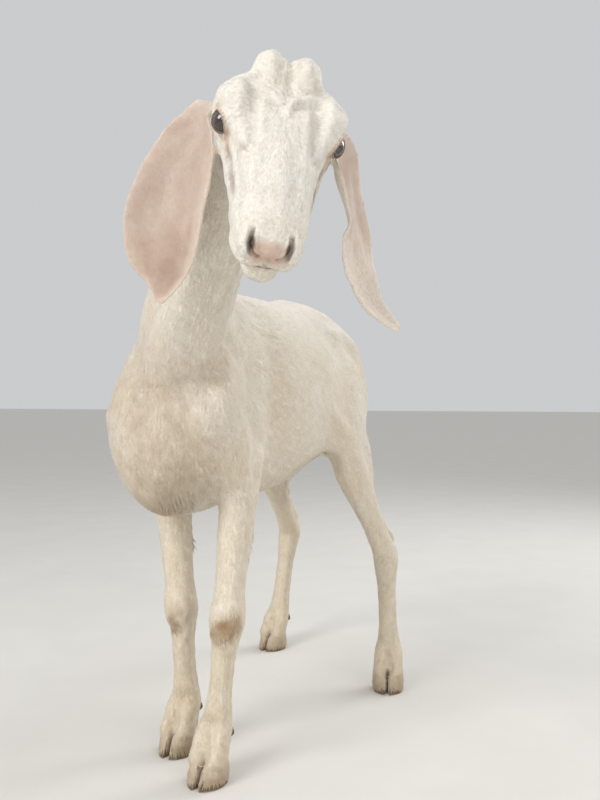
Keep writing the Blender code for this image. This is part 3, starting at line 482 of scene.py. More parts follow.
def sculpt(obj, strokes, matrix, middle_x=0.0):
    """Raises the skin of obj along each stroke, with a soft edge."""
    mesh = obj.data
    tree = surface_tree(mesh)
    points = points_of(mesh)
    normals = normals_of(mesh)
    moved = points.copy()
    for paired, reach, height, path in strokes:
        for mirror in (1, -1) if paired else (1,):
            placed = [matrix @ Vector((middle_x + (p[0] - middle_x) * mirror, p[1], p[2])) for p in path]
            line = dense_path(placed, tree)
            close = np.where(((points > line.min(0) - reach) & (points < line.max(0) + reach)).all(1))[0]
            if len(close):
                fall = np.clip(1 - (path_distance(points[close], line) / reach) ** 2, 0, 1) ** 2
                moved[close] += normals[close] * (height * fall)[:, None]
    set_points(mesh, moved)


def subdivide_near(obj, centres, times=1):
    """Splits the faces of obj that are near any of the centres, each (point, reach)."""
    for _ in range(times):
        bm = bmesh.new()
        bm.from_mesh(obj.data)
        points = points_of(obj.data)
        near = np.zeros(len(points), bool)
        for centre, reach in centres:
            near |= np.linalg.norm(points - np.array(centre), axis=1) < reach
        bm.verts.ensure_lookup_table()
        edges = [edge for edge in bm.edges if near[edge.verts[0].index] and near[edge.verts[1].index]]
        bmesh.ops.subdivide_edges(bm, edges=edges, cuts=1, use_grid_fill=True)
        bmesh.ops.triangulate(bm, faces=[face for face in bm.faces if len(face.verts) > 3])
        bm.to_mesh(obj.data)
        bm.free()


# --- The skin -----------------------------------------------------------------------
NODE_TREE = {}


def nearest_parts(points):
    """For each point, which of PART_NAMES the nearest frame node is."""
    if "tree" not in NODE_TREE:
        corners, faces, owners = [], [], []
        for node in FLESH + EARS:
            mesh = frame["nodes"][node].data
            own, _ = triangles_of(mesh)
            faces += (own + len(corners)).tolist()
            owners += [PART_NAMES.index(part_of(node))] * len(own)
            corners += points_of(mesh).tolist()
        NODE_TREE["tree"] = BVHTree.FromPolygons(corners, faces)
        NODE_TREE["owners"] = np.array(owners)
    find = NODE_TREE["tree"].find_nearest
    return NODE_TREE["owners"][[find(point)[2] for point in points.tolist()]]


def part_values(parts, column):
    return np.array([PARTS[name][column] for name in PART_NAMES])[parts]


CUFF_BOTTOM = 0.0135        # the skin and its hair cover each claw down to here
CUFF_SWELL = 0.0024         # and stand this far off the claw's outer side
JOIN_SWELL = 0.0006         # closes the narrow cuts between the parts of the flesh


def cuff_of(leg, part):
    """The upper part of a claw, larger on its outer side, for the skin that runs down over it."""
    node = f"{leg}_hoof_{part}"
    cuff = copy_of_node(node, "cuff_" + node)
    points = points_of(cuff.data)
    centre = np.array(middle(node)) * (1, 1, 0)
    away = unit((centre - np.array(body(*LEGS[leg][3])) * (1, 1, 0))[None])[0]
    out = unit((points - centre) * (1, 1, 0))
    points += out * (CUFF_SWELL * smoothstep(out @ away, -0.75, -0.25))[:, None]
    set_points(cuff.data, points)
    edit_whole(cuff)
    bpy.ops.mesh.bisect(plane_co=(0, 0, CUFF_BOTTOM), plane_no=(0, 0, 1), use_fill=True, clear_inner=True)
    bpy.ops.object.mode_set(mode="OBJECT")
    return cuff


def joined_flesh(grain):
    """All the flesh and the ears as one closed, even mesh."""
    copies = [cuff_of(leg, part) for leg in LEGS for part in ("outer", "inner")]
    for node in FLESH + EARS + ["eye_left", "eye_right"]:
        piece = copy_of_node(node, "flesh_" + node)
        set_points(piece.data, points_of(piece.data) + normals_of(piece.data) * JOIN_SWELL)
        copies.append(piece)
    deselect_all()
    for piece in copies:
        piece.select_set(True)
    bpy.context.view_layer.objects.active = copies[0]
    bpy.ops.object.join()
    skin = bpy.context.view_layer.objects.active
    skin.name = "skin"
    skin.data.name = "skin"
    apply_modifier(skin, "REMESH", mode="VOXEL", voxel_size=grain)
    return skin


def even_out(skin, passes):
    """Smooths away the facets: most on the broad trunk, least on ears and feet."""
    mesh = skin.data
    edges = edges_of(mesh)
    points = points_of(mesh)
    shares = spread(part_values(nearest_parts(points), SMOOTHED), edges, len(points), 12)[:, 0]
    levels = np.round(shares * 20) / 20
    group = skin.vertex_groups.new(name="even")
    for level in np.unique(levels):
        group.add(np.where(levels == level)[0].tolist(), float(max(level, 0.02)), "REPLACE")
    apply_modifier(skin, "SMOOTH", factor=0.6, iterations=passes, vertex_group="even")


def thin_out(skin, size):
    """Leaves fewer, larger faces, one size of part after another."""
    sizes = sorted({PARTS[name][FACE_AREA] for name in PART_NAMES}, reverse=True)
    for area in sizes:
        mesh = skin.data
        points = points_of(mesh)
        chosen = part_values(nearest_parts(points), FACE_AREA) == area
        corners, _ = triangles_of(mesh)
        mine = corners[chosen[corners].all(1)]
        a, b, c = points[mine[:, 0]], points[mine[:, 1]], points[mine[:, 2]]
        wanted = np.linalg.norm(np.cross(b - a, c - a), axis=1).sum() / 2 / (area * size * 1e-6)
        if wanted < len(mine):
            group = skin.vertex_groups.new(name="coarse")
            group.add(np.where(chosen)[0].tolist(), 1.0, "REPLACE")
            ratio = 1 - (len(mine) - wanted) / len(corners)
            apply_modifier(
                skin, "DECIMATE", ratio=ratio, use_collapse_triangulate=True,
                vertex_group="coarse", vertex_group_factor=10.0,
            )
            skin.vertex_groups.clear()


GAZE = Vector((0.80, -0.54, 0.16)).normalized()     # the left eye's, in the head's frame
LID_FRONT = Vector((0.42, 0.80, 0.42))               # from the tear corner to the back corner
LID_HALF_LENGTH = 0.90                               # half the opening, in radians round the eye
LID_HALF_HEIGHT = 0.60
LID_THICKNESS = 0.0015
SOCKET_ANGLE = 0.95                                  # where the lids turn off the eyeball


def eye_frame(side):
    """The eye's frame: X to the back corner, Y up over the lid, Z out of the eye."""
    out = Vector((GAZE.x * side, GAZE.y, GAZE.z))
    back = Vector((LID_FRONT.x * side, LID_FRONT.y, LID_FRONT.z))
    back = (back - out * back.dot(out)).normalized()
    up = out.cross(back) * side
    turn = Matrix((back, up, out)).transposed().to_4x4()
    centre = Vector((EYE_OUT * side, EYE_AHEAD, EYE_UP))
    return HEAD @ Matrix.Translation(centre) @ turn


def lid_place(local):
    """How far out each point lies from the eye's opening, whose edge is at 1."""
    far = np.linalg.norm(local, axis=1)
    way = local / far[:, None]
    angle = np.arccos(np.clip(way[:, 2], -1, 1))
    flat = unit(way[:, :2]) * angle[:, None]
    height = np.where(flat[:, 1] > 0, LID_HALF_HEIGHT, LID_HALF_HEIGHT * 0.86)
    outside = (np.abs(flat[:, 0] / LID_HALF_LENGTH) ** 1.7 + np.abs(flat[:, 1] / height) ** 1.7) ** (1 / 1.7)
    return outside, far, way, angle


def shape_lids(skin):
    """Wraps the skin round each eyeball, with an almond opening and a rolled rim."""
    points = points_of(skin.data)
    edges = edges_of(skin.data)
    for side in SIDES.values():
        local = in_frame(points, eye_frame(side))
        near = np.where(np.linalg.norm(local, axis=1) < EYE_RADIUS * 2.6)[0]
        outside, old, way, angle = lid_place(local[near])
        lid = EYE_RADIUS + LID_THICKNESS
        # Off the ball the skin runs straight on to the brow and the cheek.
        cone = lid / np.cos(np.clip(angle - SOCKET_ANGLE, 0, 0.95))
        filled = np.where(angle > SOCKET_ANGLE, np.maximum(old, cone), old)
        filled = old + (filled - old) * (1 - smoothstep(angle, 1.75, 2.15))
        rim = lid + 0.0005 * np.exp(-((outside - 1.12) / 0.10) ** 2)
        # A crease lies above the upper lid, and a slack fold below the lower one.
        rim -= 0.0009 * np.exp(-((outside - 1.42) / 0.10) ** 2)
        rim += 0.0005 * np.exp(-((outside - 1.62) / 0.12) ** 2)
        sunk = EYE_RADIUS * 0.80
        target = np.where(outside < 1, sunk, sunk + (rim - sunk) * smoothstep(outside, 1.0, 1.07))
        hold = 1 - smoothstep(angle, SOCKET_ANGLE, SOCKET_ANGLE + 0.45)
        new = filled + (target - filled) * hold
        place = np.array(eye_frame(side))
        moved = points.copy()
        moved[near] = (way * new[:, None]) @ place[:3, :3].T + place[:3, 3]
        soft = spread(moved, edges, len(points), 3)
        share = np.zeros(len(points))
        share[near] = smoothstep(outside, 1.35, 1.7)
        points = moved + (soft - moved) * share[:, None]
    set_points(skin.data, points)


def sink_by_coat(skin):
    """Moves the skin in by the depth of the coat, so that the hair ends at the flesh's outline."""
    mesh = skin.data
    edges = edges_of(mesh)
    points = points_of(mesh)
    depth = spread(part_values(nearest_parts(points), SUNK), edges, len(points), 10)[:, 0]
    set_points(mesh, points - normals_of(mesh) * (depth * MM)[:, None])


def fold_ears(skin):
    """Low folds that fan out from the root of each ear, so that the whole sheet waves."""
    mesh = skin.data
    points = points_of(mesh)
    parts = nearest_parts(points)
    on_ear = spread((parts == PART_NAMES.index("ear")).astype(float), edges_of(mesh), len(points), 8)[:, 0]
    for node in EARS:
        low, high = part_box(node)
        inner_x = low.x if node == "ear_left" else high.x
        root = np.array((inner_x, (low.y + high.y) / 2, high.z - 0.012))
        gap = points - root
        down = np.maximum(-gap[:, 2], 0.004)
        fan = np.arctan2(gap @ np.array(EAR_ACROSS[node]), down)
        away = np.linalg.norm(gap, axis=1)
        wave = 0.0013 * np.sin(fan * 19 + 1.4 * np.sin(away * 28)) + 0.0010 * np.sin(fan * 7 + away * 20)
        mine = on_ear * ((points > np.array(low) - 0.01) & (points < np.array(high) + 0.01)).all(1)
        size = mine * smoothstep(away, 0.020, 0.070)
        points += np.array(EAR_FACING[node]) * (wave * size)[:, None]
    set_points(mesh, points)


def wrinkle(skin):
    """Fine creases and slackness in the skin, which show on the face, ears and joints."""
    mesh = skin.data
    points = points_of(mesh)
    head = in_frame(points, HEAD)
    rough = 0.00035 * waves(points, 0.012, 3) + 0.00018 * waves(points, 0.005, 4)
    on_boss = np.exp(-((head[:, 2] - 0.066) / 0.02) ** 2 - ((head[:, 1] - 0.01) / 0.025) ** 2)
    on_nose = np.exp(-((head[:, 1] + 0.155) / 0.012) ** 2)
    rough += 0.0005 * waves(points * (1, 1, 2.2), 0.007, 5) * np.clip(on_boss, 0, 1)
    rough += 0.0002 * waves(points, 0.0028, 6) * np.clip(on_nose, 0, 1)
    set_points(mesh, points + normals_of(mesh) * rough[:, None])


# --- Markings and the lie of the coat --------------------------------------------------
BARE, PAINTED_SHADE = 0, 3           # columns of the markings: bare skin first, painted shade last; stain and dirt, both partly painted shade, lie between them
def blob(points, centre, reach, soft=1.0):
    """1 at the centre, falling to 0 at this reach."""
    gap = np.linalg.norm((points - np.array(centre)) / np.array(reach), axis=1)
    return 1 - smoothstep(gap, 1 - soft, 1)


def ear_inside(points, normals, parts):
    """1 on the hollow inner face of each ear."""
    inside = np.zeros(len(points))
    on_ear = parts == PART_NAMES.index("ear")
    for node in EARS:
        low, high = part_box(node)
        mine = on_ear & ((points > np.array(low) - 0.01) & (points < np.array(high) + 0.01)).all(1)
        inside[mine] = smoothstep(normals[mine] @ np.array(EAR_FACING[node]), 0.05, 0.45)
    return inside


# Dusty places of the chest, belly and rump: how dusty, where, and how far each way. On the chest and belly
# the tan is partly painted shade.
DUST_AND_SHADE = (
    (0.52, (-0.012, -0.080, 0.430), (0.080, 0.080, 0.080)),
    (0.56, (0.000, -0.080, 0.550), (0.150, 0.150, 0.230)),
    (0.24, (0.000, 0.220, 0.470), (0.150, 0.240, 0.140)),
    (0.35, (0.004, 0.610, 0.560), (0.090, 0.060, 0.110)),
)


def dirt_and_shade_on(points):
    """Earth on the feet, brown worn knees and hocks, and dust on the body, partly painted shade on the chest
    and belly.
    """
    height = points[:, 2]
    dirt_and_shade = 0.50 * (1 - smoothstep(height, 0.012, 0.050)) + 0.10 * (1 - smoothstep(height, 0.030, 0.130))
    for leg, joints in LEGS.items():
        bend = np.array(body(*joints[1]))
        fetlock = np.array(body(*joints[2]))
        if leg.startswith("fore"):
            # The hair is worn brown where the goat kneels.
            side_step = (points[:, 0] - bend[0] - 0.004) * 0.35
            level = points - side_step[:, None] * (0, 0, 1)
            if leg == "foreleg_left":
                knee = 0.88 * blob(level, bend + (0.007, -0.022, -0.006), (0.040, 0.040, 0.029), 0.6)
                below = blob(points, bend + (0.005, -0.020, -0.042), (0.012, 0.030, 0.022))
                knee = np.maximum(knee, 0.42 * below)
            else:
                knee = 0.85 * blob(level, bend + (-0.004, -0.022, -0.018), (0.019, 0.036, 0.032), 0.7)
                around = blob(level, bend + (0.006, -0.022, -0.006), (0.038, 0.036, 0.026), 0.7)
                knee = np.maximum(knee, 0.40 * around)
            dirt_and_shade = np.maximum(dirt_and_shade, knee)
            ankle = blob(points, fetlock + (0.004, -0.022, 0.020), (0.028, 0.030, 0.014))
            dirt_and_shade = np.maximum(dirt_and_shade, 0.42 * ankle)
        else:
            dirt_and_shade = np.maximum(dirt_and_shade, 0.55 * blob(points, bend + (0, 0.034, 0.020), (0.022, 0.026, 0.050)))
        dirt_and_shade = np.maximum(dirt_and_shade, 0.30 * blob(points, fetlock + (0, 0.012, -0.01), (0.035, 0.035, 0.035)))
    # Dust, with painted shade on the chest and belly.
    for share, place, reach in DUST_AND_SHADE:
        dirt_and_shade = np.maximum(dirt_and_shade, share * blob(points, body(*place), reach))
    return dirt_and_shade


def paint_markings(skin):
    """Bare pink skin, brown stains, dirt, and painted shade in the nostrils, lids and creases, as four
    shares on each point; stains and dirt also carry some painted shade.
    """
    mesh = skin.data
    points = points_of(mesh)
    normals = normals_of(mesh)
    edges = edges_of(mesh)
    parts = nearest_parts(points)
    head = in_frame(points, HEAD)
    on_head = (parts == PART_NAMES.index("head")).astype(float)
    paired = np.abs(head) * (1, 0, 0) + head * (0, 1, 1)
    inner = ear_inside(points, normals, parts)
    lid_rim_shade = np.zeros(len(points))

    # Bare skin: the nose, the lips, the lids and the corners of the eyes.
    bare = 0.80 * blob(paired, (0.006, -0.158, -0.014), (0.021, 0.018, 0.021), 0.55)
    bare = np.maximum(bare, 0.60 * blob(paired, (0.016, -0.150, -0.042), (0.030, 0.026, 0.008), 0.7))
    for side in SIDES.values():
        eye = in_frame(points, eye_frame(side))
        outside, far, _, _ = lid_place(eye)
        on_lid = (far < EYE_RADIUS * 1.5) * (eye[:, 2] > 0)
        bare = np.maximum(bare, 0.75 * (1 - smoothstep(outside, 1.35, 1.75)) * on_lid)
        bare = np.maximum(bare, 0.55 * blob(eye, (-0.014, -0.010, 0.008), (0.010, 0.010, 0.012), 0.8))
        # The rims of the lids take painted shade, that of the lids and lashes over the eye.
        lid_rim_shade = np.maximum(lid_rim_shade, (1 - smoothstep(outside, 1.06, 1.30)) * on_lid)
    bare *= on_head
    under_eye = blob(paired, (0.057, -0.025, 0.020), (0.012, 0.014, 0.012), 0.8)
    bare = np.maximum(bare, 0.72 * under_eye * on_head)
    # Bare insides of the ears; the left one pales towards its hanging tip.
    left_ear = points[:, 0] > body(0.24, 0, 0).x
    hanging = smoothstep(body(0, 0, 0.800).z - points[:, 2], 0.0, 0.075)
    bare = np.maximum(bare, np.where(left_ear, 0.58 - 0.36 * hanging, 0.60) * inner)

    # Stains: under the tear corner and down the tear groove. Deep in the ears the stain colour is painted
    # shade in the hollows, darker down the right ear and paler down the left; a fold beside the nose takes
    # painted shade too.
    stain_and_shade = 0.60 * blob(paired, (0.054, -0.038, 0.014), (0.012, 0.018, 0.009), 0.7) * on_head
    tear_line = blob(paired, (0.0455, -0.072, 0.0055), (0.009, 0.036, 0.0085), 0.9)
    stain_and_shade = np.maximum(stain_and_shade, 0.74 * tear_line * on_head)
    ear_hollow_shade = inner * smoothstep(spread(inner, edges, len(points), 60)[:, 0], 0.55, 0.95)
    stain_and_shade = np.maximum(stain_and_shade, np.where(left_ear, 0.24 - 0.12 * hanging, 0.30 + 0.22 * hanging) * ear_hollow_shade)
    # Painted shade in the small fold beside the nose, in the stain's colour.
    nose_fold_shade = blob(paired, (0.041, -0.050, 0.035), (0.008, 0.009, 0.008), 0.8)
    stain_and_shade = np.maximum(stain_and_shade, 0.30 * nose_fold_shade * on_head)
    dirt_and_shade = dirt_and_shade_on(points)
    # Painted shade: in the nostrils, along the lip line, on the rims of the lids and in narrow creases.
    painted_shade = 0.95 * blob(paired, (0.0200, -0.1525, -0.0070), (0.0056, 0.016, 0.0150), 0.65) * on_head
    lip_line_shade = blob(paired, (0.010, -0.152, -0.0415), (0.020, 0.018, 0.0028), 0.8)
    painted_shade = np.maximum(painted_shade, 0.80 * lip_line_shade * on_head)
    painted_shade = np.maximum(painted_shade, 0.85 * lid_rim_shade)
    # Painted shade in the creases of the face, as deep as each lies.
    hollow_shade = np.einsum("ij,ij->i", spread(points, edges, len(points), 6) - points, normals)
    painted_shade = np.maximum(painted_shade, 0.12 * np.clip(hollow_shade / 0.0009, 0, 1) * on_head)

    marks = np.stack([bare, stain_and_shade, dirt_and_shade, painted_shade], axis=1)
    marks = np.clip(marks, 0, 1).astype(np.float32)
    layer = mesh.attributes.new("markings", "FLOAT_COLOR", "POINT")
    layer.data.foreach_set("color", marks.ravel())
    return marks, parts


def comb_directions(points, normals, parts, edges):
    """The way the hair lies at each point of the skin."""
    ways = np.zeros((len(points), 3))
    base = body(-0.012, 0.0, 0.560)
    poll = HEAD @ Vector((0, 0.062, -0.012))
    whorl = np.array(HEAD @ Vector((0, 0.000, 0.060)))
    crown = np.array(HEAD.to_3x3() @ Vector((0, -0.35, -0.30)))
    down = np.array((0.0, 0.12, -1.0))
    for name in PART_NAMES:
        mine = parts == PART_NAMES.index(name)
        if name == "trunk":
            ways[mine] = (0.0, 0.85, -0.62)
            front = mine & (points[:, 1] < body(0, 0.03, 0).y)
            ways[front] = (0.0, 0.45, -1.0)
        elif name == "neck":
            ways[mine] = np.array((base - poll).normalized()) + (0, 0, -0.35)
        elif name == "head":
            ways[mine] = unit(points[mine] - whorl) + crown * 0.4
        elif name == "ear":
            ways[mine] = (0.05, 0.06, -1.0)
        elif name == "tail":
            ways[mine] = (0.0, 0.15, -1.0)
        else:
            ways[mine] = down
    ways = spread(ways, edges, len(points), 40)
    swirl = 0.20 * waves(points, 0.070, 11) + 0.16 * waves(points, 0.022, 12)
    ways += np.cross(normals, ways) * swirl[:, None]
    ways -= normals * np.einsum("ij,ij->i", ways, normals)[:, None]
    return unit(ways)


def coat_plan(skin, marks, parts):
    """Length, width, lift, density and share of wisps at each point of the skin.

    The lift is of the middle of a tuft over the skin.  A wisp's tip turns off the skin."""
    mesh = skin.data
    points = points_of(mesh)
    edges = edges_of(mesh)
    count = len(points)
    base = np.stack([part_values(parts, k) for k in (LENGTH, WIDTH, LIFT, DENSITY)], axis=1)
    length, width, lift, density = spread(base, edges, count, 10).T.copy()
    head = in_frame(points, HEAD)
    on_head = parts == PART_NAMES.index("head")
    # Longer hair grows under the brisket, at the elbows, on the backs of the thighs,
    # along the belly and over the hooves; the muzzle's is the shortest.
    longer = 1.4 * blob(points, body(0.030, -0.090, 0.450), (0.085, 0.075, 0.070))
    fringe = np.zeros(count)
    wisps = 1.0 * blob(points, body(0.030, -0.082, 0.436), (0.060, 0.060, 0.050))
    for leg, joints in LEGS.items():
        top = np.array(body(*joints[0]))
        if leg.startswith("fore"):
            elbow = blob(points, top + (0.013, 0.018, -0.082), (0.026, 0.030, 0.062))
            longer = np.maximum(longer, 1.5 * elbow)
            wisps = np.maximum(wisps, 1.2 * elbow)
        else:
            thigh = blob(points, top + (0.01, 0.110, -0.060), (0.060, 0.080, 0.110))
            longer = np.maximum(longer, 0.8 * thigh)
            wisps = np.maximum(wisps, 0.6 * thigh)
        fetlock = np.array(body(*joints[2]))
        wisps = np.maximum(wisps, 0.35 * blob(points, fetlock + (0, 0.022, -0.012), (0.026, 0.022, 0.028)))
        hoof = np.array(body(*joints[3]))
        fringe = np.maximum(fringe, blob(points, hoof + (0, 0.0, 0.026), (0.050, 0.060, 0.022), 0.5))
    longer = np.maximum(longer, 0.5 * blob(points, body(0.0, 0.300, 0.410), (0.060, 0.200, 0.040)))
    length *= 1 + longer + 0.85 * fringe
    density *= 1 + 0.9 * fringe
    lift *= 1 + 1.1 * longer + 0.5 * fringe
    wisps = np.maximum(wisps, 0.15 * fringe)
    muzzle = smoothstep(-head[:, 1], 0.060, 0.150) * on_head
    length *= 1 - 0.50 * muzzle
    width *= 1 - 0.30 * muzzle
    density *= 1 + 0.30 * muzzle
    crown = blob(head, (0, 0.060, 0.060), (0.050, 0.040, 0.040)) * on_head
    length *= 1 + 0.5 * crown
    lift *= 1 + 0.6 * crown
    bare = marks[:, BARE]
    density *= np.clip(1 - 1.1 * bare, 0.02, 1) * (marks[:, PAINTED_SHADE] < 0.55)
    length *= 1 - 0.35 * bare
    width *= 1 - 0.40 * bare
    return np.stack([length, width, lift, density, wisps], axis=1)


# --- Tufts --------------------------------------------------------------------------
RING = 3                    # points round a tuft: two edges and a ridge
PATCH = 0.003               # size of a tuft's patch on the map of the skin
OVER_FLOOR = 0.0006         # the hair over the claws stops this far over the floor
PLAN_DENSITY = 3            # the column of the coat's plan that holds tufts per square centimetre
WISP_STAND = 15.0           # how far off the coat the tip of a wisp stands, in millimetres
WISP_SHARE = 0.33           # how many of the tufts stand off, where there are wisps
LASHES, WHISKERS = 46, 26   # lashes of each eye, and whiskers of the muzzle


def sample_roots(corners, points, density, rng):
    """Faces picked by area and density, and a random place on each."""
    a, b, c = points[corners[:, 0]], points[corners[:, 1]], points[corners[:, 2]]
    area = np.linalg.norm(np.cross(b - a, c - a), axis=1) / 2
    wanted = area * 1e4 * density[corners].mean(1)
    total = wanted.sum()
    edges = np.cumsum(wanted)
    picks = (np.arange(int(total)) + rng.random(int(total))) * (total / max(int(total), 1))
    faces = np.searchsorted(edges, np.minimum(picks, edges[-1] * 0.999999))
    u, v = rng.random(len(faces)), rng.random(len(faces))
    flip = u + v > 1
    u[flip], v[flip] = 1 - u[flip], 1 - v[flip]
    return faces, np.stack([1 - u - v, u, v], axis=1)


def follow_skin(tree, places):
    """The nearest points of the skin to these, and its normals there."""
    found = [tree.find_nearest(place) for place in places.tolist()]
    return np.array([f[0] for f in found]), np.array([f[1] for f in found])


def build_tufts(name, spines, sides, ups, widths, drops, tints, uvs, marks, sections):
    """One mesh of closed, pointed, three-sided tufts.

    spines holds the tuft's middle line, sections + 1 points each; sides, ups, widths
    and drops hold the way across, the way off the skin, the half width there, and how
    far the edges lie below the middle line, so that they meet the skin without a gap."""
    count = len(spines)
    rings = spines[:, :sections, None, :].repeat(RING, axis=2)
    across = sides[:, :sections] * widths[:, :sections, None]
    below = ups[:, :sections] * drops[:, :sections, None]
    rings[:, :, 0] -= across + below
    rings[:, :, 1] += across - below
    rings[:, :, 2] += ups[:, :sections] * widths[:, :sections, None] * 0.14
    per = RING * sections + 1
    verts = np.concatenate([rings.reshape(count, RING * sections, 3), spines[:, -1:]], axis=1)

    faces = [(0, 1, 2)]
    for s in range(sections - 1):
        for j, k in ((0, 1), (1, 2), (2, 0)):
            low, high = s * RING, (s + 1) * RING
            faces += [(low + j, high + k, low + k), (low + j, high + j, high + k)]
    last = (sections - 1) * RING
    faces += [(last + k, last + j, per - 1) for j, k in ((0, 1), (1, 2), (2, 0))]
    faces = np.array(faces, np.int64)
    corners = (faces[None] + (np.arange(count) * per)[:, None, None]).reshape(-1)

    mesh = bpy.data.meshes.new(name)
    mesh.vertices.add(count * per)
    mesh.vertices.foreach_set("co", verts.astype(np.float32).ravel())
    mesh.loops.add(len(corners))
    mesh.loops.foreach_set("vertex_index", corners.astype(np.int32))
    total = len(corners) // 3
    mesh.polygons.add(total)
    mesh.polygons.foreach_set("loop_start", np.arange(0, len(corners), 3, dtype=np.int32))
    mesh.polygons.foreach_set("use_smooth", np.ones(total, bool))
    mesh.update()

    across = np.concatenate([np.tile((-1.0, 1.0, 0.0), sections), (0.0,)])
    along = np.concatenate([np.repeat(np.arange(sections) / sections, RING), (1.0,)])
    along[2] = -0.15
    local = np.stack([across * PATCH * 0.4, along * PATCH * 0.85], axis=1)
    map_points = uvs[:, None, :] + local[None]
    layer = mesh.uv_layers.new(name="OFBake")
    layer.data.foreach_set("uv", map_points.reshape(-1, 2)[corners].astype(np.float32).ravel())
    reach = np.clip(np.tile(along, count), 0, 1)
    shade = mesh.attributes.new("hair", "FLOAT_VECTOR", "POINT")
    hair = np.stack([np.repeat(tints, per), reach, np.zeros(count * per)], axis=1)
    shade.data.foreach_set("vector", hair.astype(np.float32).ravel())
    marked = mesh.attributes.new("markings", "FLOAT_COLOR", "POINT")
    marked.data.foreach_set("color", np.repeat(marks, per, axis=0).astype(np.float32).ravel())

    # The hair shades like a soft nap, so its normals lean to the skin's own.  The side of
    # a tuft that faces the skin shows only where the tuft stands off as a wisp.
    outward = np.concatenate([ups[:, :sections].repeat(RING, axis=1), ups[:, -1:]], axis=1)
    lean = np.concatenate([np.tile((-0.38, 0.38, 0.0), sections), (0.0,)])
    side_way = np.concatenate([sides[:, :sections].repeat(RING, axis=1), sides[:, -1:]], axis=1)
    soft = unit((outward + side_way * lean[None, :, None]).reshape(-1, 3))
    corner_normals = soft[corners]
    under = np.tile(np.repeat((faces % RING != RING - 1).all(axis=1), 3), count)
    corner_normals[under] *= -1
    mesh.normals_split_custom_set(corner_normals.tolist())
    obj = bpy.data.objects.new(name, mesh)
    bpy.context.scene.collection.objects.link(obj)
    return obj


SKIN = {}


def grow_coat(name, choose, seed, sections=2, thicken=1.0):
    """Tufts over the part of the skin that choose picks."""
    rng = np.random.default_rng(seed)
    points, normals, corners = SKIN["points"], SKIN["normals"], SKIN["corners"]
    plan, ways, marks = SKIN["plan"], SKIN["ways"], SKIN["marks"]
    wanted = plan[:, PLAN_DENSITY] * choose * thicken
    faces, shares = sample_roots(corners, points, wanted, rng)
    tri = corners[faces]

    def at(values):
        return np.einsum("ij,ijk->ik", shares, values[tri])

    roots, up, way = at(points), unit(at(normals)), at(ways)
    way = unit(way - up * np.einsum("ij,ij->i", way, up)[:, None])
    length, width, lift, _, wisps = at(plan).T
    turn = rng.normal(0, 0.13, len(roots)) + 0.20 * waves(roots, 0.011, seed + 50)
    side = np.cross(way, up)
    way = unit(way + side * turn[:, None])
    length = length * MM * rng.uniform(0.75, 1.25, len(roots))
    width = width * MM * rng.uniform(0.75, 1.2, len(roots)) / 2
    clump = 0.5 + 0.5 * waves(roots, 0.016, seed + 51)
    rise = lift * MM * (0.65 + 0.70 * clump) * rng.uniform(0.75, 1.2, len(roots))
    # Where there are wisps, one tuft in three stands off the skin.
    stand = WISP_STAND * MM * wisps * (rng.random(len(roots)) < WISP_SHARE)
    stand *= rng.uniform(0.3, 1.0, len(roots))

    spines, ups, sides, drops = [roots - up * 0.0004], [up], [np.cross(way, up)], [rise * 0]
    place = roots
    for s in range(1, sections + 1):
        place = place + way * (length / sections)[:, None]
        ground, normal = follow_skin(SKIN["tree"], place)
        normal = unit(normal + 0.5 * up)
        share = s / sections
        # The middle of a tuft stands highest, and its tip lies nearer the skin.
        height = rise * (1.0 - 0.55 * share ** 3)
        spines.append(ground + normal * (height + stand * share ** 2.2)[:, None])
        drops.append(height + 0.00015)
        ups.append(normal)
        place = ground
        way = unit(way - normal * np.einsum("ij,ij->i", way, normal)[:, None])
        sides.append(np.cross(way, normal))
    spines = np.stack(spines, axis=1)
    spines[:, :, 2] = np.maximum(spines[:, :, 2], OVER_FLOOR)
    profile = np.array([0.75, 1.0, 0.8, 0.5, 0.3][:sections] + [0.0])
    widths = width[:, None] * profile[None]
    map_at = np.einsum("ij,ijk->ik", shares, SKIN["uvs"][faces])
    tints = np.clip(0.5 + 0.25 * waves(roots, 0.020, seed + 52) + rng.normal(0, 0.16, len(roots)), 0, 1)
    return build_tufts(
        name, spines, np.stack(sides, axis=1), np.stack(ups, axis=1), widths,
        np.stack(drops, axis=1), tints, map_at, at(marks), sections,
    )


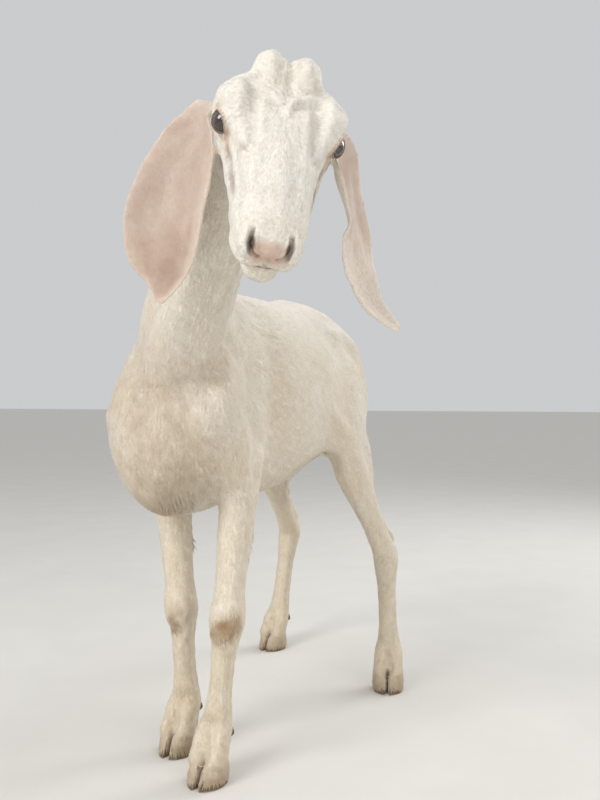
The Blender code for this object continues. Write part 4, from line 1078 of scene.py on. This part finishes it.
def grow_single_hairs(name, seed):
    """Pale lashes on the lids, and stiff whiskers on the lips and chin."""
    rng = np.random.default_rng(seed)
    tree, corners = SKIN["tree"], SKIN["corners"]
    roots, ways, lengths = [], [], []
    for side in SIDES.values():
        place = eye_frame(side)
        turn = place.to_3x3()
        for k in range(LASHES):
            round_lid = math.pi * (k + rng.random()) / LASHES
            if k % 4 == 3:
                round_lid = -round_lid
            x, y = math.cos(round_lid), math.sin(round_lid)
            x = math.copysign(abs(x) ** (2 / 1.7), x) * LID_HALF_LENGTH * 1.10
            y = math.copysign(abs(y) ** (2 / 1.7), y) * LID_HALF_HEIGHT * 1.10
            angle = math.hypot(x, y)
            way = Vector((math.sin(angle) * x / angle, math.sin(angle) * y / angle, math.cos(angle)))
            roots.append(place @ (way * EYE_RADIUS * 1.08))
            ways.append(turn @ (way + Vector((x * 0.5, y * 1.1 - 0.15, 0.15))).normalized())
            lengths.append((0.0095 if y > 0 else 0.005) * rng.uniform(0.7, 1.1))
    for k in range(WHISKERS):
        x, z = math.copysign(rng.uniform(0.014, 0.036), k % 2 - 0.5), rng.uniform(-0.058, -0.024)
        start = HEAD @ Vector((x, -0.150 + 0.6 * abs(x), z))
        ground, normal = follow_skin(tree, np.array([start]))
        roots.append(Vector(ground[0]))
        ways.append((Vector(normal[0]) * 0.7 + HEAD.to_3x3() @ Vector((x * 8, -0.1, -0.7))).normalized())
        lengths.append(rng.uniform(0.005, 0.010))
    roots, ways = np.array(roots), unit(np.array(ways))
    lengths = np.array(lengths)[:, None]
    side = unit(np.cross(ways, rng.normal(size=roots.shape)))
    up = np.cross(side, ways)
    steps = [lengths * share for share in (0.4, 0.75, 1.0)]
    spines = np.stack([roots - ways * 0.001] + [roots + ways * step for step in steps], axis=1)
    droop = np.array((0.0, 0.0, -1.0)) * lengths * 0.10
    spines[:, 2] += droop
    spines[:, 3] += droop * 2.2
    nearest = [tree.find_nearest(root)[2] for root in roots.tolist()]
    nearest = np.minimum(nearest, len(corners) - 1)
    spans = np.full((len(roots), 3), 0.00013) * (1.0, 0.8, 0.5)
    bare = np.zeros((len(roots), 4))
    uvs = SKIN["uvs"][nearest].mean(1)
    return build_tufts(
        name, spines, np.repeat(side[:, None], 4, 1), np.repeat(up[:, None], 4, 1), spans,
        spans * 0, np.full(len(roots), 1.0), uvs, bare, 3,
    )


# --- Materials ------------------------------------------------------------------------
def linear(hex_code):
    """An sRGB hex colour as linear numbers."""
    values = [int(hex_code[i:i + 2], 16) / 255 for i in (1, 3, 5)]
    return tuple(v / 12.92 if v <= 0.04045 else ((v + 0.055) / 1.055) ** 2.4 for v in values) + (1.0,)


def add_node(tree, kind, values=None, links=None, **settings):
    """Adds a shader node with its settings, input values and incoming links."""
    made = tree.nodes.new(kind)
    for key, value in settings.items():
        setattr(made, key, value)
    for key, value in (values or {}).items():
        made.inputs[key].default_value = value
    for key, socket in (links or {}).items():
        tree.links.new(socket, made.inputs[key])
    return made


def new_material(name, **values):
    material = bpy.data.materials.new(name)
    material.use_nodes = True
    shader = material.node_tree.nodes["Principled BSDF"]
    for key, value in values.items():
        shader.inputs[key.replace("_", " ")].default_value = value
    return material, material.node_tree, shader


def blended(tree, share, low, high):
    """A mix of two colours; each of them is a socket or a plain colour."""
    mix = add_node(tree, "ShaderNodeMix", data_type="RGBA")
    for index, value in ((0, share), (6, low), (7, high)):
        if isinstance(value, bpy.types.NodeSocket):
            tree.links.new(value, mix.inputs[index])
        else:
            mix.inputs[index].default_value = value
    return mix.outputs[2]


def ranged(tree, socket, low, high, out_low=0.0, out_high=1.0):
    values = {"From Min": low, "From Max": high, "To Min": out_low, "To Max": out_high}
    return add_node(tree, "ShaderNodeMapRange", values, {"Value": socket}).outputs["Result"]


def product(tree, first, second):
    node = add_node(tree, "ShaderNodeMath", operation="MULTIPLY")
    tree.links.new(first, node.inputs[0])
    if isinstance(second, bpy.types.NodeSocket):
        tree.links.new(second, node.inputs[1])
    else:
        node.inputs[1].default_value = second
    return node.outputs[0]


def noise(tree, coordinates, scale, detail=3.0, roughness=0.55):
    values = {"Scale": scale, "Detail": detail, "Roughness": roughness}
    return add_node(tree, "ShaderNodeTexNoise", values, {"Vector": coordinates}).outputs["Fac"]


def coat_colour(tree, look):
    """Cream hair with straw-coloured legs, and the markings that skin and hair share, painted shade among
    them.
    """
    coordinates = add_node(tree, "ShaderNodeTexCoord").outputs["Object"]
    height = add_node(tree, "ShaderNodeSeparateXYZ", links={"Vector": coordinates}).outputs["Z"]
    marks = add_node(tree, "ShaderNodeAttribute", attribute_name="markings")
    shares = add_node(tree, "ShaderNodeSeparateColor", links={"Color": marks.outputs["Color"]})
    cloudy = noise(tree, coordinates, 9.0)
    patchy = noise(tree, coordinates, 45.0)
    fine = noise(tree, coordinates, 260.0)
    low_down = ranged(tree, height, 0.50, 0.10)
    high_up = ranged(tree, height, 0.62, 0.80)
    clouds = product(tree, ranged(tree, cloudy, 0.35, 0.70), 0.55)
    colour = blended(tree, clouds, linear(look.cream), linear(look.straw))
    colour = blended(tree, product(tree, low_down, 0.60), colour, linear(look.straw))
    colour = blended(tree, product(tree, high_up, 0.55), colour, linear(look.white))
    colour = blended(tree, product(tree, ranged(tree, fine, 0.35, 0.72), 0.30), colour, linear(look.shadow))
    pink = ranged(tree, patchy, 0.30, 0.70, 0.80, 1.0)
    colour = blended(tree, product(tree, shares.outputs["Red"], pink), colour, linear(look.bare))
    # The stain share: tear streaks, and painted shade in the ear hollows and the fold beside the nose.
    streaked = product(tree, shares.outputs["Green"], ranged(tree, patchy, 0.35, 0.65, 0.82, 1.08))
    colour = blended(tree, streaked, colour, linear(look.stain_and_shade))
    # The dirt share: earth, worn knees and dust, partly painted shade on the chest and belly.
    rough_edge = ranged(tree, patchy, 0.35, 0.65, 0.70, 1.15)
    colour = blended(tree, product(tree, shares.outputs["Blue"], rough_edge), colour, linear(look.dirt_and_shade))
    # The last share is painted shade, in the nostrils, lip line, lid rims and creases.
    colour = blended(tree, marks.outputs["Alpha"], colour, linear(look.hollow_shade))
    return colour, coordinates


def skin_material(look):
    """Thin skin with a close nap of fine hair: matt, faintly translucent, never glossy."""
    material, tree, shader = new_material(
        "goat_skin_with_short_nap", Roughness=0.72, Subsurface_Weight=0.08, Subsurface_Scale=0.004
    )
    colour, coordinates = coat_colour(tree, look)
    tree.links.new(colour, shader.inputs["Base Color"])
    # Hairs about 0.1 mm thick are too fine to show, so the streaks are 1 mm wide.
    streaks = add_node(tree, "ShaderNodeMapping", {"Scale": (1.0, 1.0, 0.22)}, {"Vector": coordinates})
    nap = noise(tree, streaks.outputs["Vector"], 900.0, 2.0)
    bump = add_node(tree, "ShaderNodeBump", {"Strength": 0.35, "Distance": 0.0008}, {"Height": nap})
    tree.links.new(bump.outputs["Normal"], shader.inputs["Normal"])
    return material


def hair_material(look):
    """Goat hair: fine, straight, cream keratin with a soft sheen, painted darker towards the roots as shade
    between the tufts.
    """
    material, tree, shader = new_material(
        "goat_hair_cream", Roughness=0.62, Specular_IOR_Level=0.30, Sheen_Weight=0.25, Sheen_Roughness=0.5
    )
    colour, _ = coat_colour(tree, look)
    hair = add_node(tree, "ShaderNodeAttribute", attribute_name="hair")
    parts = add_node(tree, "ShaderNodeSeparateXYZ", links={"Vector": hair.outputs["Vector"]})
    tint = ranged(tree, parts.outputs["X"], 0.15, 0.85, 0.26, 0.0)
    # Each tuft is painted darker towards its root: painted shade where the tufts overlap.
    root = ranged(tree, parts.outputs["Y"], 0.0, 0.6, 0.22, 0.0)
    colour = blended(tree, tint, colour, linear(look.shadow))
    colour = blended(tree, root, colour, linear(look.shadow))
    tree.links.new(colour, shader.inputs["Base Color"])
    return material


def horn_material():
    """Hoof horn: matt grey-brown keratin in fine level growth rings, soiled and worn pale at the edge."""
    material, tree, shader = new_material("hoof_horn_worn", Roughness=0.6)
    coordinates = add_node(tree, "ShaderNodeTexCoord").outputs["Object"]
    height = add_node(tree, "ShaderNodeSeparateXYZ", links={"Vector": coordinates}).outputs["Z"]
    rings = add_node(tree, "ShaderNodeMapping", {"Scale": (0.18, 0.18, 1.0)}, {"Vector": coordinates})
    banded = noise(tree, rings.outputs["Vector"], 330.0, 3.0)
    streaked = add_node(tree, "ShaderNodeMapping", {"Scale": (1.0, 1.0, 0.12)}, {"Vector": coordinates})
    fibres = noise(tree, streaked.outputs["Vector"], 700.0, 2.0)
    soiled = noise(tree, coordinates, 120.0)
    colour = blended(tree, ranged(tree, banded, 0.35, 0.65), linear("#4E3F31"), linear("#8A7358"))
    colour = blended(tree, product(tree, ranged(tree, fibres, 0.40, 0.70), 0.40), colour, linear("#3A2E24"))
    earth = product(tree, ranged(tree, soiled, 0.40, 0.62), ranged(tree, height, 0.022, 0.0))
    colour = blended(tree, earth, colour, linear("#6E5539"))
    colour = blended(tree, ranged(tree, height, 0.0022, 0.0004), colour, linear("#9B8668"))
    tree.links.new(colour, shader.inputs["Base Color"])
    tree.links.new(ranged(tree, soiled, 0.3, 0.7, 0.50, 0.82), shader.inputs["Roughness"])
    bump = add_node(tree, "ShaderNodeBump", {"Strength": 0.5, "Distance": 0.0006}, {"Height": banded})
    tree.links.new(bump.outputs["Normal"], shader.inputs["Normal"])
    return material


def eye_material(side):
    """A wet eyeball: dark amber iris in fine spokes round a level slit, under a clear cornea."""
    material, tree, shader = new_material(
        "eyeball_wet_" + side, Roughness=0.10, IOR=1.38, Coat_Weight=1.0, Coat_Roughness=0.02
    )
    place = eye_frame(SIDES[side])
    coordinates = add_node(tree, "ShaderNodeTexCoord").outputs["Object"]
    # A Texture mapping undoes the eye's own place and turn, so the pattern is in its frame.
    mapping = add_node(tree, "ShaderNodeMapping", links={"Vector": coordinates}, vector_type="TEXTURE")
    mapping.inputs["Location"].default_value = place.to_translation()
    mapping.inputs["Rotation"].default_value = place.to_euler()
    split = add_node(tree, "ShaderNodeSeparateXYZ", links={"Vector": mapping.outputs["Vector"]})

    def powered(socket, scale, power):
        size = add_node(tree, "ShaderNodeMath", operation="ABSOLUTE", links={0: socket}).outputs[0]
        scaled = product(tree, size, 1 / scale)
        raised = add_node(tree, "ShaderNodeMath", operation="POWER", links={0: scaled})
        raised.inputs[1].default_value = power
        return raised.outputs[0]

    def oval(width, height, power):
        total = add_node(tree, "ShaderNodeMath", operation="ADD")
        tree.links.new(powered(split.outputs["X"], width, power), total.inputs[0])
        tree.links.new(powered(split.outputs["Y"], height, power), total.inputs[1])
        return total.outputs[0]

    spokes = noise(tree, mapping.outputs["Vector"], 800.0, 3.0)
    iris = blended(tree, ranged(tree, spokes, 0.3, 0.7), linear("#2E241B"), linear("#5A4630"))
    white = blended(tree, ranged(tree, oval(0.0105, 0.0098, 2.0), 0.85, 1.10), iris, linear("#3B302B"))
    pupil = ranged(tree, oval(0.0072, 0.0030, 3.0), 1.15, 0.80)
    tree.links.new(blended(tree, pupil, white, linear("#0B0E12")), shader.inputs["Base Color"])
    return material


def floor_material():
    """Pale matt studio floor."""
    material, tree, shader = new_material("studio_floor_matt", Roughness=0.9)
    coordinates = add_node(tree, "ShaderNodeTexCoord").outputs["Object"]
    mottled = noise(tree, coordinates, 6.0)
    tone = ranged(tree, mottled, 0.3, 0.7)
    tree.links.new(blended(tree, tone, linear("#DDDAD4"), linear("#E1DED8")), shader.inputs["Base Color"])
    return material


# --- What a user can change -------------------------------------------------------------
class GoatSkinSettings(bpy.types.PropertyGroup):
    grain: bpy.props.FloatProperty(
        name="Grain", description="Size of the cells that join the flesh into one skin",
        default=0.0023, min=0.0018, max=0.006, unit="LENGTH",
    )
    passes: bpy.props.IntProperty(
        name="Smoothing", description="How many times the trunk's facets are smoothed",
        default=150, min=0, max=400,
    )
    face_size: bpy.props.FloatProperty(
        name="Face size", description="Area of the skin's faces, against the usual one",
        default=1.0, min=0.7, max=8.0,
    )


class GoatCoatSettings(bpy.types.PropertyGroup):
    density: bpy.props.FloatProperty(
        name="Density", description="How many tufts grow, against the usual number",
        default=1.0, min=0.05, max=2.0,
    )
    seed: bpy.props.IntProperty(name="Seed", description="Which random coat grows", default=7, min=0)
    cream: bpy.props.StringProperty(
        name="Cream", description="Main colour of the hair, as sRGB hex",
        default="#F3ECE0",
    )
    white: bpy.props.StringProperty(
        name="White", description="Colour of the face and poll",
        default="#F1EFEA",
    )
    straw: bpy.props.StringProperty(
        name="Straw", description="Colour of the legs and cloudy parts",
        default="#E8D7BA",
    )
    # Also the colour of the painted shade at the roots of the tufts.
    shadow: bpy.props.StringProperty(
        name="Shaded hair", description="Colour of the darker hairs",
        default="#C4B195",
    )
    bare: bpy.props.StringProperty(
        name="Bare skin", description="Nose, lids, lips and inner ears",
        default="#C3A18C",
    )
    # Also the colour of the painted shade in the ear hollows and the fold beside the nose.
    stain_and_shade: bpy.props.StringProperty(
        name="Stain", description="Tear streaks and the hollows of the ears",
        default="#80553D",
    )
    # Also the colour of the painted shade on the chest and belly.
    dirt_and_shade: bpy.props.StringProperty(
        name="Dirt", description="Worn knees, and dust on feet, chest and rump",
        default="#9A7A54",
    )
    # The colour of the painted shade in the nostrils, lip line, lid rims and creases of the face.
    hollow_shade: bpy.props.StringProperty(
        name="Hollows", description="Nostrils, lip line and hair roots",
        default="#4A362A",
    )


class GoatStageSettings(bpy.types.PropertyGroup):
    camera_height: bpy.props.FloatProperty(
        name="Camera height", description="Height of the camera over the floor",
        default=0.575, min=0.1, unit="LENGTH",
    )
    lens: bpy.props.FloatProperty(
        name="Lens", description="Focal length for a 36 mm long side", default=36.9, min=10,
    )
    key_power: bpy.props.FloatProperty(
        name="Key light", description="Power of the large soft lamp", default=55.0, unit="POWER",
    )


# --- Operators ----------------------------------------------------------------------
# Where the face needs finer mesh, in the head's own frame, and how far round that place.
FACE_PLACES = (
    ((0.060, -0.007, 0.030), 0.034), ((0.020, -0.150, -0.008), 0.026), ((0.000, 0.010, 0.066), 0.036),
    ((0.000, -0.150, -0.040), 0.024), ((0.028, -0.120, -0.036), 0.020),
)
FINE_PLACES = (
    ((0.062, -0.011, 0.031), 0.021), ((0.020, -0.152, -0.008), 0.015), ((0.0, -0.156, -0.040), 0.012),
)


def head_places(places):
    """The places on both sides of the head, in the frame of the whole goat."""
    both = [((x * side, y, z), reach) for (x, y, z), reach in places for side in (1, -1)]
    return [(HEAD @ Vector(point), reach) for point, reach in both]


class GOAT_OT_skin(bpy.types.Operator):
    """Join the flesh and ears into one skin, and shape its muscles, folds and lids"""

    bl_idname = "goat.skin"
    bl_label = "Skin"

    def execute(self, context):
        settings = context.scene.goat_skin
        skin = joined_flesh(settings.grain)
        even_out(skin, settings.passes)
        thin_out(skin, settings.face_size)
        place = Matrix.Translation(PLACE)
        sculpt(skin, BODY_FORMS + rib_strokes() + neck_strokes(), place)
        for leg in LEGS:
            sculpt(skin, leg_strokes(leg), place)
        sculpt(skin, HEAD_FORMS, HEAD)
        subdivide_near(skin, head_places(FACE_PLACES))
        sink_by_coat(skin)
        fold_ears(skin)
        subdivide_near(skin, head_places(FINE_PLACES))
        apply_modifier(skin, "SMOOTH", factor=0.5, iterations=2)
        sculpt(skin, HEAD_FOLDS, HEAD)
        wrinkle(skin)
        shape_lids(skin)
        skin.data.shade_smooth()

        edit_whole(skin)
        bpy.ops.uv.smart_project(angle_limit=math.radians(66), island_margin=0.001)
        bpy.ops.object.mode_set(mode="OBJECT")
        mesh = skin.data
        mesh.uv_layers[0].name = "OFBake"

        marks, parts = paint_markings(skin)
        SKIN["points"] = points_of(mesh)
        SKIN["normals"] = normals_of(mesh)
        SKIN["parts"] = parts
        SKIN["marks"] = marks
        SKIN["corners"], loops = triangles_of(mesh)
        uvs = np.empty(len(mesh.loops) * 2, np.float32)
        mesh.uv_layers["OFBake"].data.foreach_get("uv", uvs)
        SKIN["uvs"] = uvs.reshape(-1, 2)[loops].astype(np.float64)
        SKIN["tree"] = ground_tree(skin)
        SKIN["plan"] = coat_plan(skin, marks, parts)
        SKIN["ways"] = comb_directions(SKIN["points"], SKIN["normals"], parts, edges_of(mesh))
        mesh.materials.append(skin_material(context.scene.goat_coat))
        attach(skin, "root")
        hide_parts(*FLESH, *EARS)
        return {"FINISHED"}


class GOAT_OT_coat(bpy.types.Operator):
    """Grow the tufts of the coat, one piece for each region of the body"""

    bl_idname = "goat.coat"
    bl_label = "Coat"

    def execute(self, context):
        if not SKIN:
            raise RuntimeError("make the skin first")
        look = context.scene.goat_coat
        material = hair_material(look)
        points, parts = SKIN["points"], SKIN["parts"]

        def share_of(*names):
            return np.isin(parts, [PART_NAMES.index(name) for name in names]).astype(float)

        left = (points[:, 0] > body(0, 0, 0).x).astype(float)
        fore = (points[:, 1] < body(0, 0.245, 0).y).astype(float)
        head_left = (in_frame(points, HEAD)[:, 0] > 0).astype(float)
        regions = {
            "coat_head_left": (share_of("head") * head_left, 2),
            "coat_head_right": (share_of("head") * (1 - head_left), 2),
            "coat_ears": (share_of("ear"), 2),
            "coat_neck": (share_of("neck"), 2),
            "coat_trunk_left_fore": (share_of("trunk") * left * fore, 2),
            "coat_trunk_left_hind": (share_of("trunk") * left * (1 - fore), 2),
            "coat_trunk_right_fore": (share_of("trunk") * (1 - left) * fore, 2),
            "coat_trunk_right_hind": (share_of("trunk") * (1 - left) * (1 - fore), 2),
            "coat_tail": (share_of("tail"), 3),
            "coat_upper_legs": (share_of("forearm", "gaskin"), 2),
            "coat_fore_feet": (share_of("cannon", "foot") * fore, 2),
            "coat_hind_feet": (share_of("cannon", "foot") * (1 - fore), 2),
        }
        for number, (name, (choose, sections)) in enumerate(regions.items()):
            piece = grow_coat(name, choose, look.seed + 10 * number, sections, look.density)
            piece.data.materials.append(material)
            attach(piece, "root")
        hairs = grow_single_hairs("lashes_and_whiskers", look.seed + 500)
        hairs.data.materials.append(material)
        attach(hairs, "root")
        return {"FINISHED"}


EYEBALL_INSIDE = 0.0004      # how far the eyeball lies inside the frame's
CORNEA_RISE = 0.0009         # and how far its dome rises


class GOAT_OT_eyes(bpy.types.Operator):
    """Make the eyeballs, each with the low dome of its cornea"""

    bl_idname = "goat.eyes"
    bl_label = "Eyes"

    def execute(self, context):
        for side, sign in SIDES.items():
            deselect_all()
            bpy.ops.mesh.primitive_uv_sphere_add(
                segments=48, ring_count=32, radius=EYE_RADIUS - EYEBALL_INSIDE
            )
            eye = context.view_layer.objects.active
            eye.name = f"eyeball_{side}"
            points = points_of(eye.data)
            dome = np.exp(-((points[:, 0] / 0.0085) ** 2 + (points[:, 1] / 0.0075) ** 2))
            dome = CORNEA_RISE * dome * (points[:, 2] > 0)
            set_points(eye.data, points * (1 + dome / EYE_RADIUS)[:, None])
            eye.data.transform(eye_frame(sign))
            bm = bmesh.new()
            bm.from_mesh(eye.data)
            bmesh.ops.recalc_face_normals(bm, faces=bm.faces)
            bm.to_mesh(eye.data)
            bm.free()
            eye.data.shade_smooth()
            eye.data.materials.append(eye_material(side))
            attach(eye, "root")
            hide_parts("eye_" + side)
        return {"FINISHED"}


GROWTH_RING = 0.0042         # height of a growth ring of the horn


def refine_horn(node, ring_depth, chips):
    """A finer copy of a hoof or dewclaw, with growth rings and a worn edge."""
    piece = copy_of_node(node, node.replace("hoof", "horn").replace("dewclaw", "dewhorn"))
    mesh = piece.data
    edit_whole(piece)
    bpy.ops.mesh.tris_convert_to_quads(face_threshold=math.radians(30), shape_threshold=math.radians(60))
    bpy.ops.object.mode_set(mode="OBJECT")
    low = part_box(node)[0]
    crease = mesh.attributes.new("crease_edge", "FLOAT", "EDGE")
    for edge in mesh.edges:
        ends = [mesh.vertices[v].co for v in edge.vertices]
        on_sole = all(end.z < low.z + 0.0005 for end in ends)
        crease.data[edge.index].value = 0.9 if on_sole else 0.0
    apply_modifier(piece, "SUBSURF", levels=3, render_levels=3)
    points = points_of(mesh)
    normals = normals_of(mesh)
    upright = 1 - np.abs(normals[:, 2])
    above = smoothstep(points[:, 2], low.z + 0.0006, low.z + 0.003)
    rings = np.sin(points[:, 2] * 2 * math.pi / GROWTH_RING + 2.0 * waves(points, 0.03, 21))
    rough = ring_depth * rings * upright + 0.00035 * waves(points, 0.009, 22)
    near_edge = 1 - smoothstep(points[:, 2], low.z + 0.001, low.z + 0.006)
    worn = chips * np.clip(waves(points, 0.010, 23), 0, 1) * near_edge
    points += normals * ((rough - worn * upright) * above)[:, None]
    points[:, 2] = np.maximum(points[:, 2], low.z)
    set_points(mesh, points)
    mesh.shade_smooth()
    return piece


class GOAT_OT_hooves(bpy.types.Operator):
    """Refine the hooves and dewclaws of all four feet"""

    bl_idname = "goat.hooves"
    bl_label = "Hooves and dewclaws"

    def execute(self, context):
        material = horn_material()
        for leg in LEGS:
            for kind, depth, chips in (("hoof", 0.00022, 0.0011), ("dewclaw", 0.00010, 0.0)):
                for where in ("outer", "inner"):
                    node = f"{leg}_{kind}_{where}"
                    piece = refine_horn(node, depth, chips)
                    piece.data.materials.append(material)
                    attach(piece, "root")
                    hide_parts(node)
        return {"FINISHED"}


# Each lamp's place, the width of its disk, and its power as a share of the key's.
LAMPS = {
    "key": ((-0.9, -2.6, 2.3), 1.6, 1.0),
    "fill": ((2.6, -1.6, 1.4), 2.2, 0.35),
    "rim": ((1.4, 2.4, 2.4), 1.8, 0.7),
}
LAMP_AIM = (0.05, 0.05, 0.55)
FLOOR_SIZE = 80.0
SKY_STRENGTH = 0.76
CAMERA_X, CAMERA_Y = 0.6783, -1.1048
CAMERA_TURN = 24             # degrees to the left of straight back along the goat


def area_lamp(name, place, target, size, power):
    light = bpy.data.lights.new(name, "AREA")
    light.shape = "DISK"
    light.size = size
    light.energy = power
    lamp = bpy.data.objects.new(name, light)
    lamp.location = place
    lamp.rotation_euler = (Vector(target) - Vector(place)).to_track_quat("-Z", "Y").to_euler()
    bpy.context.scene.collection.objects.link(lamp)
    return lamp


class GOAT_OT_stage(bpy.types.Operator):
    """Set the floor, the soft lamps and the camera"""

    bl_idname = "goat.stage"
    bl_label = "Stage"

    def execute(self, context):
        settings = context.scene.goat_stage
        deselect_all()
        bpy.ops.mesh.primitive_plane_add(size=FLOOR_SIZE)
        floor = context.view_layer.objects.active
        floor.name = "studio_floor"
        floor.data.materials.append(floor_material())

        for name, (place, size, share) in LAMPS.items():
            area_lamp(name, body(*place), body(*LAMP_AIM), size, settings.key_power * share)
        world = bpy.data.worlds.new("studio_air")
        context.scene.world = world
        world.use_nodes = True
        background = world.node_tree.nodes["Background"]
        background.inputs["Color"].default_value = linear("#E4E6E8")
        background.inputs["Strength"].default_value = SKY_STRENGTH
        context.scene.view_settings.view_transform = "Standard"

        data = bpy.data.cameras.new("camera")
        data.sensor_width = 36.0
        data.lens = settings.lens
        data.clip_start = 0.05
        camera = bpy.data.objects.new("camera", data)
        camera.location = body(CAMERA_X, CAMERA_Y, settings.camera_height)
        camera.rotation_euler = (math.radians(90), 0, math.radians(CAMERA_TURN))
        context.scene.collection.objects.link(camera)
        context.scene.camera = camera
        return {"FINISHED"}


class GOAT_PT_panel(bpy.types.Panel):
    """Buttons that build the goat, in order"""

    bl_idname = "GOAT_PT_panel"
    bl_label = "Standing Goat"
    bl_space_type = "VIEW_3D"
    bl_region_type = "UI"
    bl_category = "Goat"

    def draw(self, context):
        scene = context.scene
        for settings, operators in (
            (scene.goat_skin, ("goat.skin", "goat.eyes", "goat.hooves")),
            (scene.goat_coat, ("goat.coat",)),
            (scene.goat_stage, ("goat.stage",)),
        ):
            box = self.layout.box()
            for key in settings.__annotations__:
                box.prop(settings, key)
            for operator in operators:
                box.operator(operator)


SETTINGS = {"goat_skin": GoatSkinSettings, "goat_coat": GoatCoatSettings, "goat_stage": GoatStageSettings}
CLASSES = (
    GoatSkinSettings, GoatCoatSettings, GoatStageSettings,
    GOAT_OT_skin, GOAT_OT_eyes, GOAT_OT_hooves, GOAT_OT_coat, GOAT_OT_stage, GOAT_PT_panel,
)


def register():
    for cls in CLASSES:
        bpy.utils.register_class(cls)
    for name, cls in SETTINGS.items():
        setattr(bpy.types.Scene, name, bpy.props.PointerProperty(type=cls))


def unregister():
    for name in SETTINGS:
        delattr(bpy.types.Scene, name)
    for cls in reversed(CLASSES):
        bpy.utils.unregister_class(cls)


def main():
    register()
    bpy.ops.goat.skin()
    bpy.ops.goat.eyes()
    bpy.ops.goat.hooves()
    bpy.ops.goat.coat()
    bpy.ops.goat.stage()


if __name__ == "__main__":
    main()
